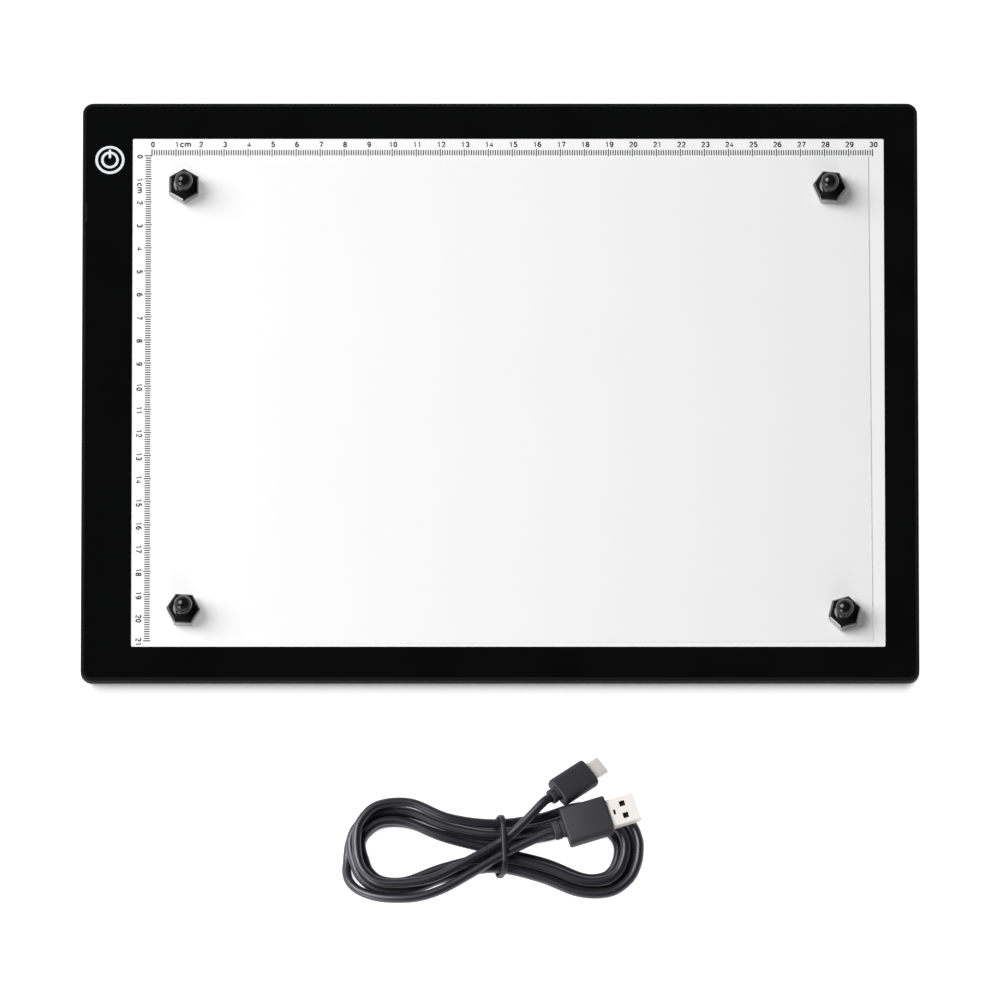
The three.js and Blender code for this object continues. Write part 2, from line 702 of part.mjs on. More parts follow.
// The cord's route between the plugs and the loops, in the hank's axes
const routeFromLargePlug = [
  [10, -0.5, 12.6],
  [2.1, -4.7, 12.4],
  [-10, -12.2, 12.3],
  [-21, -18.4, 12.1],
  [-31, -21.6, 11.5],
  [-40.5, -22, 10.5],
  [-48.5, -20.8, 8.9],
  [-55.2, -17.9, 7],
  [-59.3, -13.8, 5],
  [-60.8, -9, 3.2],
  [-60.5, -3.8, 2.1],
];
const routeToSmallPlug = [
  [-56, -5, 10.8],
  [-53.5, -10.6, 10.9],
  [-47.7, -15, 11.1],
  [-37.6, -15.7, 11.5],
  [-25, -13.6, 12.1],
  [-10, -6, 12.5],
  [2.1, 1, 12.4],
  [11.5, 8.8, 13.3],
];

// Outline of the hank at an angle: three waves a side, drawn in at the waist, with its outward direction
function hankOutline(angle) {
  let [x, y, slopeX, slopeY] = [0, 0, 0, 0];
  [1, 3, 5].forEach((wave, index) => {
    const length = hankHalfLength * hankLengthShares[index];
    const width = hankHalfWidth * hankWidthShares[index];
    x += length * Math.cos(wave * angle);
    y += width * Math.sin(wave * angle);
    slopeX -= length * wave * Math.sin(wave * angle);
    slopeY += width * wave * Math.cos(wave * angle);
  });
  const steepness = Math.hypot(slopeX, slopeY);
  return { x, y, outX: slopeY / steepness, outY: -slopeX / steepness };
}

// Nought before the start, one past the end, and smooth between them.
function ease(value, start, end) {
  return THREE.MathUtils.smoothstep(value, start, end);
}

// How many pitches out from its spiral the cord lies on the upper layers
function outwardPitches(halfTurns, outline, rightness) {
  const lastRunDone = halfTurns - (hankHalfTurns - 1);
  if (lastRunDone < 0) {
    const nearEnd = ease(leftShift.lengthShare - rightness, 0, leftShift.lengthShare);
    return leftShift.pitchShare * nearEnd * ease(outline.y, -leftShift.depth, leftShift.depth);
  }
  const pinch = Math.exp(-(((outline.x - lastRun.pinchX) / lastRun.pinchReach) ** 2));
  const inwards = lastRun.inwardPitchShare * ease(lastRunDone, lastRun.inwardStartShare, 1);
  return -inwards - lastRun.pinchPitchShare * pinch;
}

// The cord after a number of half turns. It spirals in on the lower layer, crosses the waist as it climbs
// to the upper layer, and spirals out the other way round, with its last run on top. The runs spread at
// the right end, the front ones lie a little low, and the tie under the waist lifts them all there.
function hankPoint(halfTurns) {
  const inwards = halfTurns < hankTurnBack;
  const even = Math.PI * (inwards ? 1 - halfTurns : halfTurns - 3);
  const angle = even - tipCrowdingShare * Math.sin(2 * even);
  const rightness = (1 + Math.cos(angle)) / 2;
  const outline = hankOutline(angle);
  const fromTurnBack = halfTurns - hankTurnBack;
  const spread = 1 + rightSpreadShare * rightness ** 3;
  const spiral = ((Math.abs(fromTurnBack) - hankTurnBack) / 2) * spread;
  const moved = inwards ? 0 : outwardPitches(halfTurns, outline, rightness);
  const offset = strandPitch * (spiral + moved);
  const crossing = THREE.MathUtils.clamp(fromTurnBack / crossingShare, -1, 1);
  const ramp = Math.sin((crossing * Math.PI) / 2);
  const x = outline.x + outline.outX * offset;
  const atWaist = Math.exp(-((x / waistReach) ** 2));
  const level = outline.y + outline.outY * offset;
  const side = level - frontDrop * (1 - atWaist) * ease(-level, 0, frontDropDepth);
  const y = Math.abs(crossing) < 1 ? Math.abs(side) * ramp : side;
  const climbStart = hankHalfTurns - 1 + lastRun.climbStartShare;
  const layer = (ramp + 1) / 2 + ease(halfTurns, climbStart, climbStart + lastRun.climbShare);
  return new THREE.Vector3(x, y, cordDiameter / 2 + waistLift * atWaist + strandPitch * layer);
}

// The way a plug points, and the cord's two last points, straight behind it.
function plugAxis({ yaw, pitch }) {
  const euler = new THREE.Euler(0, THREE.MathUtils.degToRad(pitch), THREE.MathUtils.degToRad(yaw), "ZYX");
  return { euler, axis: new THREE.Vector3(1, 0, 0).applyEuler(euler) };
}
function cordEnd(plug) {
  const back = new THREE.Vector3(...plug.back);
  const { axis } = plugAxis(plug);
  return [seatGap, seatGap + cordDiameter].map((distance) => back.clone().addScaledVector(axis, -distance));
}

// All points of the cord, from the large plug to the small plug.
function cordPoints() {
  const loops = [];
  for (let step = 0; step <= hankHalfTurns * stepsPerHalfTurn; step += 1) {
    loops.push(hankPoint(step / stepsPerHalfTurn));
  }
  const first = routeFromLargePlug.map((point) => new THREE.Vector3(...point));
  const last = routeToSmallPlug.map((point) => new THREE.Vector3(...point));
  return [...cordEnd(largePlugPlace), ...first, ...loops, ...last, ...cordEnd(smallPlugPlace).reverse()];
}

// A tube of flat-sided rings carried along points without twist, capped at both ends.
function carryTube(points, radius, sides) {
  const directions = points.map((point, index) => {
    const before = points[Math.max(index - 1, 0)];
    const after = points[Math.min(index + 1, points.length - 1)];
    return after.clone().sub(before).normalize();
  });
  const across = up.clone().cross(directions[0]).normalize();
  const positions = [];
  points.forEach((point, index) => {
    if (index > 0) {
      const turn = new THREE.Quaternion().setFromUnitVectors(directions[index - 1], directions[index]);
      across.applyQuaternion(turn);
    }
    const other = directions[index].clone().cross(across);
    for (let side = 0; side < sides; side += 1) {
      const angle = (2 * Math.PI * side) / sides;
      const corner = point.clone().addScaledVector(across, radius * Math.cos(angle));
      positions.push(...corner.addScaledVector(other, radius * Math.sin(angle)).toArray());
    }
  });
  const firstCap = points.length * sides;
  const lastRing = firstCap - sides;
  positions.push(...points[0].toArray(), ...points.at(-1).toArray());
  const faces = [];
  for (let side = 0; side < sides; side += 1) {
    const next = (side + 1) % sides;
    for (let ring = 0; ring < lastRing; ring += sides) {
      faces.push(ring + side, ring + next, ring + sides + next);
      faces.push(ring + side, ring + sides + next, ring + sides + side);
    }
    faces.push(firstCap, next, side);
    faces.push(firstCap + 1, lastRing + side, lastRing + next);
  }
  const tube = new THREE.BufferGeometry();
  tube.setAttribute("position", new THREE.Float32BufferAttribute(positions, 3));
  tube.setIndex(faces);
  tube.computeVertexNormals();
  return tube;
}

// Least distance between the surfaces of stretches of cord that are some diameters apart along it.
const samplesPerStep = 5;
const apartDiameters = 4;
function measureCord(points) {
  const samples = [];
  for (let i = 1; i < points.length; i += 1) {
    for (let part = 0; part < samplesPerStep; part += 1) {
      samples.push(points[i - 1].clone().lerp(points[i], part / samplesPerStep));
    }
  }
  const run = [0];
  for (let i = 1; i < samples.length; i += 1) {
    run.push(run[i - 1] + samples[i].distanceTo(samples[i - 1]));
  }
  let leastGap = Infinity;
  for (let i = 0; i < samples.length; i += 1) {
    for (let j = i + 1; j < samples.length; j += 1) {
      if (run[j] - run[i] > apartDiameters * cordDiameter) {
        leastGap = Math.min(leastGap, samples[i].distanceTo(samples[j]) - cordDiameter);
      }
    }
  }
  return { length: run.at(-1), leastGap };
}

const cable = new THREE.Group();
cable.position.set(hankX, hankY, 0);
pad.add(cable);
const cordRoute = cordPoints();
const cordMeasures = measureCord(cordRoute);
console.log("cord length " + cordMeasures.length.toFixed(0) + " mm");
console.log("least gap between turns " + cordMeasures.leastGap.toFixed(2) + " mm");
addPiece(cable, "cable_hank", carryTube(cordRoute, cordDiameter / 2, cordSides), "cableJacket");

// The tie: a thin band round both layers and the two ends that cross over them
function makeTie() {
  const high = hankPoint(hankHalfTurns - 0.5);
  const low = hankPoint(hankHalfTurns - 1.5);
  const reach = cordDiameter / 2 + tieClearance;
  const width = high.y - low.y + 2 * reach;
  const top = cordDiameter / 2 + waistLift + 2 * strandPitch;
  const height = top + reach - tieThickness;
  const middleY = (high.y + low.y) / 2;
  const middleZ = tieThickness + height / 2;
  const inner = roundedRectangle(width, height, tieCornerRadius, middleY, middleZ);
  const grown = 2 * tieThickness;
  const outerRadius = tieCornerRadius + tieThickness;
  const outer = roundedRectangle(width + grown, height + grown, outerRadius, middleY, middleZ);
  return alongX(slab(withHole(outer, inner), -tieWidth / 2, tieWidth / 2));
}
const tie = addPiece(cable, "cable_tie", makeTie(), "cableJacket");
tie.position.x = tieX;
tie.rotation.z = tieLean;

// A plug along +X from the back of its collar: the collar, the moulded body and a pocket for the metal
function makeOvermould({ collar, body, metal }) {
  const collarShape = roundedRectangle(collar.width, collar.height, collar.radius);
  const bodyShape = roundedRectangle(body.width, body.height, body.radius);
  const front = collar.length + body.length;
  const collarBar = alongX(roundedSlab(collarShape, 0, collar.length + body.edge, collar.edge));
  const bodyBar = alongX(roundedSlab(bodyShape, collar.length, front, body.edge));
  const fit = 2 * seatGap;
  const pocketShape = roundedRectangle(metal.width + fit, metal.height + fit, metal.radius + seatGap);
  const pocket = alongX(slab(pocketShape, front - metal.sunk - seatGap, front + overrun));
  return geometryOf(cut(join(solidOf(bodyBar), collarBar), pocket));
}

// The metal sleeve, open at both ends
function makeSleeve({ collar, body, metal }) {
  const { width, height, radius, wall } = metal;
  const outer = roundedRectangle(width, height, radius);
  const inner = roundedRectangle(width - 2 * wall, height - 2 * wall, Math.max(radius - wall, wall));
  const front = collar.length + body.length;
  return alongX(slab(withHole(outer, inner), front - metal.sunk, front + metal.length));
}

const largePlug = {
  collar: { width: 7.4, height: 5.8, radius: 2.5, length: 4.8, edge: 0.4 },
  body: { width: 16.2, height: 8, radius: 1.8, length: 19.2, edge: 0.8 },
  metal: { width: 12, height: 4.5, radius: 0.5, wall: 0.3, length: 12, sunk: 2.4 },
};
const smallPlug = {
  collar: { width: 6.2, height: 5, radius: 2.2, length: 3.6, edge: 0.4 },
  body: { width: 12.4, height: 6.4, radius: 2.4, length: 17.5, edge: 0.8 },
  metal: { width: 8.25, height: 2.4, radius: 1.19, wall: 0.25, length: 6.65, sunk: 2.4 },
};

// The sleeve's spring windows on both faces, and the locking slot behind them on top
const springWindowSide = 2.3;
const springWindowApart = 5.2;
const springWindowFromMouth = 5.6;
const lockSlotLength = 0.9;
const lockSlotWidth = 2.2;
const lockSlotFromBody = 1.9;
function makeLargeSleeve() {
  const { collar, body, metal } = largePlug;
  const front = collar.length + body.length;
  const windowX = front + metal.length - springWindowFromMouth;
  const half = springWindowSide / 2;
  let sleeve = solidOf(makeSleeve(largePlug));
  for (const side of [-1, 1]) {
    const y = (side * springWindowApart) / 2;
    const opening = block(windowX - half, windowX + half, y - half, y + half, -metal.height, metal.height);
    sleeve = cut(sleeve, opening);
  }
  const slotX = front + lockSlotFromBody;
  const slotEnd = slotX + lockSlotLength;
  return geometryOf(cut(sleeve, block(slotX, slotEnd, -lockSlotWidth / 2, lockSlotWidth / 2, 0, metal.height)));
}

// The plastic inside each sleeve: the contact tongue of the large plug, the ring of the small one
const contactTongueHeight = 1.9;
const mouthSetBack = 0.6;
const insertSlotHeight = 0.9;
const insertSlotWidth = 6.7;
const insertDepth = 4.2;
function makeContactTongue() {
  const { collar, body, metal } = largePlug;
  const front = collar.length + body.length;
  const reach = metal.width / 2 - metal.wall - seatGap;
  const low = metal.wall + seatGap - metal.height / 2;
  const end = front + metal.length - mouthSetBack;
  return block(front - metal.sunk, end, -reach, reach, low, low + contactTongueHeight);
}
function makeSmallInsert() {
  const { collar, body, metal } = smallPlug;
  const front = collar.length + body.length;
  const shrink = 2 * (metal.wall + airGap);
  const height = metal.height - shrink;
  const outline = roundedRectangle(metal.width - shrink, height, height / 2 - airGap);
  const end = front + metal.length - mouthSetBack;
  const core = solidOf(alongX(slab(outline, front - metal.sunk, end)));
  const [halfWidth, halfHeight] = [insertSlotWidth / 2, insertSlotHeight / 2];
  const slot = block(end - insertDepth, end + overrun, -halfWidth, halfWidth, -halfHeight, halfHeight);
  return geometryOf(cut(core, slot));
}

function addPlug(plug, prefix, pieces) {
  const group = new THREE.Group();
  group.position.set(...plug.back);
  group.setRotationFromEuler(plugAxis(plug).euler);
  for (const [name, [geometry, finish]] of Object.entries(pieces)) {
    addPiece(group, `${prefix}_${name}`, geometry, finish);
  }
  cable.add(group);
}
addPlug(largePlugPlace, "large_plug", {
  overmould: [makeOvermould(largePlug), "overmould"],
  sleeve: [makeLargeSleeve(), "nickel"],
  tongue: [makeContactTongue(), "blackPlastic"],
});
addPlug(smallPlugPlace, "small_plug", {
  overmould: [makeOvermould(smallPlug), "overmould"],
  sleeve: [makeSleeve(smallPlug), "nickel"],
  insert: [makeSmallInsert(), "chip"],
});

export default pad;
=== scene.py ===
import math

import bpy
import numpy as np
from mathutils import Euler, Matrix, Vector


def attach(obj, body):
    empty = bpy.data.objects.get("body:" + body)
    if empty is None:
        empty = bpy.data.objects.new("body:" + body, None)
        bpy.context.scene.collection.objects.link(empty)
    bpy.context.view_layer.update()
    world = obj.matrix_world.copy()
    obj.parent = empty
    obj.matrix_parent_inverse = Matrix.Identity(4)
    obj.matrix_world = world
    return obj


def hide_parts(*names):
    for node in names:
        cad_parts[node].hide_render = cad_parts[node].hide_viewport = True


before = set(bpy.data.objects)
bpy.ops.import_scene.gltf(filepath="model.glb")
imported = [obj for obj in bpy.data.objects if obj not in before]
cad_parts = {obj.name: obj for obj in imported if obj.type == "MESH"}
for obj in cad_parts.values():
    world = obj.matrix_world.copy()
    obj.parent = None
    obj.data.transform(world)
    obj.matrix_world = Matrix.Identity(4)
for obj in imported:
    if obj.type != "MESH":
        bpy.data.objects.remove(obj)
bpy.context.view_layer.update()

mm = 0.001
print("frame loaded:", len(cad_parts), "CAD nodes")

# Camera: a long lens from far away, as the photograph shows almost no perspective
camera = {
    "tilt": 16.2,  # degrees off the vertical, towards the front
    "distance": 12.0,
    "widthSeen": 0.4149,  # what the picture's width spans at the pad
    "aim": (0.0, -0.0471, 0.0056),
    "sensor": 36.0,
    "nearest": 1.0,
    "farthest": 40.0,
}


def makeCamera(p):
    data = bpy.data.cameras.new("camera")
    data.sensor_width = p["sensor"]
    data.lens = p["sensor"] * p["distance"] / p["widthSeen"]
    data.clip_start = p["nearest"]
    data.clip_end = p["farthest"]
    eye = bpy.data.objects.new("camera", data)
    tilt = math.radians(p["tilt"])
    back = Vector((0, -math.sin(tilt), math.cos(tilt)))
    eye.location = Vector(p["aim"]) + back * p["distance"]
    eye.rotation_euler = (tilt, 0, 0)
    bpy.context.collection.objects.link(eye)
    bpy.context.scene.camera = eye


makeCamera(camera)
print("camera set")


# Meshes: most new pieces are grids of points, with rows along them and columns round or across them
def gridFaces(rows, columns, closedRound, closedAlong=False):
    # the quad at row i, column j joins its two corners there to the two on the next row; a way that is
    # closed goes on from its last points to its first
    down = rows if closedAlong else rows - 1
    across = columns if closedRound else columns - 1
    i, j = np.meshgrid(np.arange(down), np.arange(across), indexing="ij")
    k = (j + 1) % columns
    row, nextRow = i * columns, (i + 1) % rows * columns
    return np.stack([row + j, row + k, nextRow + k, nextRow + j], axis=-1).reshape(-1, 4)


def makeMesh(name, points, faces, smooth=True, uv=None):
    data = bpy.data.meshes.new(name)
    data.from_pydata(np.asarray(points).reshape(-1, 3).tolist(), [], faces)
    data.polygons.foreach_set("use_smooth", np.full(len(data.polygons), smooth))
    if uv is not None:
        corner = np.empty(len(data.loops), dtype=np.int32)
        data.loops.foreach_get("vertex_index", corner)
        layer = data.uv_layers.new(name="along")
        layer.data.foreach_set("uv", uv.reshape(-1, 2)[corner].astype(np.float32).ravel())
    data.validate()
    piece = bpy.data.objects.new(name, data)
    bpy.context.collection.objects.link(piece)
    return piece


def makeLoft(name, points, uv=None, closedAlong=False):
    # rings of points joined one to the next; the last joins the first, or each end gets one flat face
    rows, columns = points.shape[:2]
    faces = gridFaces(rows, columns, True, closedAlong).tolist()
    if not closedAlong:
        faces.append(np.arange(columns)[::-1].tolist())
        faces.append((np.arange(columns) + (rows - 1) * columns).tolist())
    return makeMesh(name, points, faces, uv=uv)


def quarterTurns(perQuarter):
    # the angles of four quarter circles, each with a first and a last point of its own
    quarter = np.linspace(0, np.pi / 2, perQuarter)
    return np.concatenate([quarter + turns * np.pi / 2 for turns in range(4)])


def roundedRing(width, height, radius, perQuarter):
    # a circle whose four quarters are pulled apart to the corners of a rectangle; sizes that are arrays
    # give one ring for each of their values
    angle = quarterTurns(perQuarter)
    right = np.repeat([1, -1, -1, 1], perQuarter)
    top = np.repeat([1, 1, -1, -1], perQuarter)
    width, height, radius = (np.atleast_1d(value)[:, None] for value in (width, height, radius))
    u = right * (width / 2 - radius) + radius * np.cos(angle)
    v = top * (height / 2 - radius) + radius * np.sin(angle)
    return u, v


def easeCorners(profile, size, steps, largestShare=0.45):
    # each inner corner gives way to a parabola that leaves one side and meets the other at the given
    # distance from the corner, or at the largest share of a side that is too short for that
    profile = np.asarray(profile, dtype=float)
    before, corner, after = profile[:-2], profile[1:-1], profile[2:]
    reach = []
    for side in (before, after):
        gap = side - corner
        length = np.linalg.norm(gap[:, :2], axis=1, keepdims=True)
        reach.append(corner + gap * np.minimum(size / length, largestShare))
    t = np.linspace(0, 1, steps)[None, :, None]
    start, middle, end = reach[0][:, None], corner[:, None], reach[1][:, None]
    arcs = (1 - t) ** 2 * start + 2 * t * (1 - t) * middle + t**2 * end
    return np.concatenate([profile[:1], arcs.reshape(-1, profile.shape[1]), profile[-1:]])


def place(piece, body, slot, finish, *nodes):
    piece.data.materials.append(finish)
    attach(piece, body)
    if nodes:
        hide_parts(*nodes)
    return piece


# Materials
class Wire:  # a socket whose sums and products add Math nodes
    def __init__(self, nodes, socket):
        self.nodes = nodes
        self.socket = socket

    def maths(self, operation, first, second):
        return self.nodes.add("ShaderNodeMath", {"operation": operation}, {0: first, 1: second})

    def __add__(self, other):
        return self.maths("ADD", self, other)

    def __radd__(self, other):
        return self.maths("ADD", other, self)

    def __sub__(self, other):
        return self.maths("SUBTRACT", self, other)

    def __rsub__(self, other):
        return self.maths("SUBTRACT", other, self)

    def __mul__(self, other):
        return self.maths("MULTIPLY", self, other)

    def __rmul__(self, other):
        return self.maths("MULTIPLY", other, self)

    def __gt__(self, limit):
        return self.maths("GREATER_THAN", self, limit)

    def __abs__(self):
        return self.maths("ABSOLUTE", self, 0)


class Nodes:  # the nodes of a material or of the sky, and the shader that they feed
    def __init__(self, holder, shader, constants):
        holder.use_nodes = True
        self.tree = holder.node_tree
        self.shader = self.tree.nodes[shader]
        for socket, value in constants.items():
            self.shader.inputs[socket].default_value = value

    def add(self, kind, settings=None, sockets=None, out=0):
        node = self.tree.nodes.new(kind)
        for setting, value in (settings or {}).items():
            setattr(node, setting, value)
        for socket, value in (sockets or {}).items():
            if isinstance(value, Wire):
                self.tree.links.new(value.socket, node.inputs[socket])
            else:
                node.inputs[socket].default_value = value
        return Wire(self, node.outputs[out])

    def feed(self, socket, wire):
        self.tree.links.new(wire.socket, self.shader.inputs[socket])


class Finish(Nodes):  # one material, with short names for the nodes that finishes use
    def __init__(self, name, constants):
        self.material = bpy.data.materials.new(name)
        super().__init__(self.material, "Principled BSDF", constants)

    def where(self):
        return self.add("ShaderNodeTexCoord", out="Object")

    def along(self):
        return self.add("ShaderNodeTexCoord", out="UV")

    def axis(self, letter):
        return self.add("ShaderNodeSeparateXYZ", sockets={"Vector": self.where()}, out=letter)

    def stretched(self, at, scale):
        return self.add("ShaderNodeMapping", sockets={"Vector": at, "Scale": scale})

    def ramp(self, value, low, high, shape="SMOOTHSTEP"):
        # nought up to the low value and one from the high value on
        sockets = {"Value": value, "From Min": low, "From Max": high}
        return self.add("ShaderNodeMapRange", {"interpolation_type": shape}, sockets)

    def larger(self, first, second):
        return self.add("ShaderNodeMath", {"operation": "MAXIMUM"}, {0: first, 1: second})

    def grain(self, scale, detail=2.0, roughness=0.5, at=None):
        sockets = {"Vector": at or self.where(), "Scale": scale, "Detail": detail, "Roughness": roughness}
        return self.add("ShaderNodeTexNoise", sockets=sockets)

    def between(self, share, low, high):
        # a colour Mix has its factor, two colours and result at these places among its sockets
        sockets = {0: share, 6: low, 7: high}
        return self.add("ShaderNodeMix", {"data_type": "RGBA"}, sockets, 2)

    def bump(self, height, strength, depth):
        sockets = {"Height": height, "Strength": strength, "Distance": depth}
        self.feed("Normal", self.add("ShaderNodeBump", sockets=sockets))


def grey(value, warm=0.0):
    return (value * (1 + warm), value, value * (1 - warm), 1)


plasticLook = {"IOR": 1.48, "patchScale": 60, "detail": 3, "roughSpread": 0.16, "bump": 0.35}


def moulded(name, dark, light, rough, grain, depth, constants=None):
    # plastic or rubber: a fine moulded grain, a little uneven in tone and gloss
    look = plasticLook
    f = Finish(name, {"IOR": look["IOR"], **(constants or {})})
    patches = f.grain(look["patchScale"], look["detail"])
    f.feed("Base Color", f.between(patches, dark, light))
    f.feed("Roughness", patches * look["roughSpread"] + (rough - look["roughSpread"] / 2))
    f.bump(f.grain(grain, look["detail"]), look["bump"], depth * mm)
    return f.material


metalLook = {
    "lineScale": 1400, "patchScale": 160, "patchDetail": 3, "patchSpread": 0.12, "lineSpread": 0.1,
    "smoother": 0.1, "bump": 0.12, "depth": 0.02 * mm,
}


def metal(name, colour, shade, rough, stretch=(1, 1, 1), metallic=1.0):
    # rolled or plated metal: fine lines along one way, and patches of duller gloss
    look = metalLook
    f = Finish(name, {"Metallic": metallic})
    lines = f.grain(look["lineScale"], at=f.stretched(f.where(), stretch))
    patches = f.grain(look["patchScale"], look["patchDetail"])
    f.feed("Base Color", f.between(patches, colour, shade))
    uneven = patches * look["patchSpread"] + lines * look["lineSpread"]
    f.feed("Roughness", uneven + (rough - look["smoother"]))
    f.bump(lines, look["bump"], look["depth"])
    return f.material


borderLook = {
    "IOR": 1.28, "dark": grey(0.0024), "light": grey(0.0042, -0.06), "smudgeScale": 26, "smudgeDetail": 4,
    "smudgeBreak": 0.6, "smoothest": 0.1, "roughSpread": 0.08, "printScale": 900, "bump": 0.05,
    "depth": 0.01 * mm,
}


def borderFinish(p):
    # printed black film under a satin gloss, with faint wiped smudges
    f = Finish("borderFilm", {"IOR": p["IOR"]})
    smudges = f.grain(p["smudgeScale"], p["smudgeDetail"], p["smudgeBreak"])
    f.feed("Base Color", f.between(smudges, p["dark"], p["light"]))
    f.feed("Roughness", smudges * p["roughSpread"] + p["smoothest"])
    f.bump(f.grain(p["printScale"]), p["bump"], p["depth"])
    return f.material


glow = {
    "from": -0.155, "to": 0.16, "near": grey(1.0), "none": grey(0), "blackEdge": grey(0.004),
    "halfLength": 0.172, "halfWidth": 0.1233, "cornerCut": 0.005, "IOR": 1.45, "cloudScale": 18,
    "roughSpread": 0.1,
}
panelLook = {"strength": 0.34, "far": grey(0.46), "dark": grey(0.72), "light": grey(0.74), "smoothest": 0.2}
# the sheet's glow is a painted light, as if the panel shone through it
paperLook = {
    "strength": 0.33, "far": grey(0.31), "dark": grey(0.7), "light": grey(0.72), "smoothest": 0.75,
    "fibreScale": 2200, "fibreDetail": 4, "fibreBreak": 0.7, "bump": 0.1, "depth": 0.02 * mm,
}


def litFinish(name, p):
    # lit from the strip at the left: the panel glows as the pad's lamp, and the sheet glows with a painted
    # light as if the panel shone through it; both glows fall off along X, a painted shade that darkens them
    # towards the right; outside the given half sizes and corner cut, the panel's edge is blacked out
    f = Finish(name, {"IOR": glow["IOR"], "Emission Strength": p["strength"]})
    # painted shade: the glow dims along X, darker towards the right
    far = f.ramp(f.axis("X"), glow["from"], glow["to"], "LINEAR")
    beyondX = abs(f.axis("X")) - glow["halfLength"]
    beyondY = abs(f.axis("Y")) - glow["halfWidth"]
    beyondCorner = beyondX + beyondY + glow["cornerCut"]
    edge = f.larger(f.larger(beyondX, beyondY), beyondCorner) > 0
    cloud = f.grain(glow["cloudScale"])
    f.feed("Emission Color", f.between(edge, f.between(far, glow["near"], p["far"]), glow["none"]))
    f.feed("Base Color", f.between(edge, f.between(cloud, p["dark"], p["light"]), glow["blackEdge"]))
    uneven = cloud
    if "fibreScale" in p:
        uneven = f.grain(p["fibreScale"], p["fibreDetail"], p["fibreBreak"])
        f.bump(uneven, p["bump"], p["depth"])
    f.feed("Roughness", uneven * glow["roughSpread"] + p["smoothest"])
    return f.material


pinLook = {
    "IOR": 1.45, "coatIOR": 1.9, "coatRough": 0.08, "coatEnds": (0.01145, 0.01178), "dark": grey(0.007),
    "light": grey(0.011), "patchScale": 240, "patchDetail": 3, "smoothest": 0.12, "roughSpread": 0.08,
}


def pinFinish(p):
    # polished black plastic, with a brighter polish on the base and its chamfer than on the knob
    f = Finish("pinGloss", {"IOR": p["IOR"], "Coat Roughness": p["coatRough"], "Coat IOR": p["coatIOR"]})
    patches = f.grain(p["patchScale"], p["patchDetail"])
    f.feed("Base Color", f.between(patches, p["dark"], p["light"]))
    f.feed("Roughness", patches * p["roughSpread"] + p["smoothest"])
    f.feed("Coat Weight", 1 - f.ramp(f.axis("Z"), *p["coatEnds"], "LINEAR"))
    return f.material


jacketLook = {
    "IOR": 1.72, "tint": (0.94, 0.91, 1.0, 1), "dark": (0.012, 0.0115, 0.016, 1),
    "light": (0.0185, 0.0178, 0.024, 1), "drawnStretch": (40, 6, 1), "drawnScale": 3, "bloomScale": 90,
    "detail": 3, "smoothest": 0.33, "roughSpread": 0.1, "bump": 0.12, "depth": 0.04 * mm,
}


def jacketFinish(p):
    # soft vinyl drawn along the cord: faint lines along it and a dull bloom
    f = Finish("cableJacket", {"IOR": p["IOR"], "Specular Tint": p["tint"]})
    drawn = f.grain(p["drawnScale"], p["detail"], at=f.stretched(f.along(), p["drawnStretch"]))
    bloom = f.grain(p["bloomScale"], p["detail"])
    f.feed("Base Color", f.between(bloom, p["dark"], p["light"]))
    f.feed("Roughness", bloom * p["roughSpread"] + p["smoothest"])
    f.bump(drawn, p["bump"], p["depth"])
    return f.material


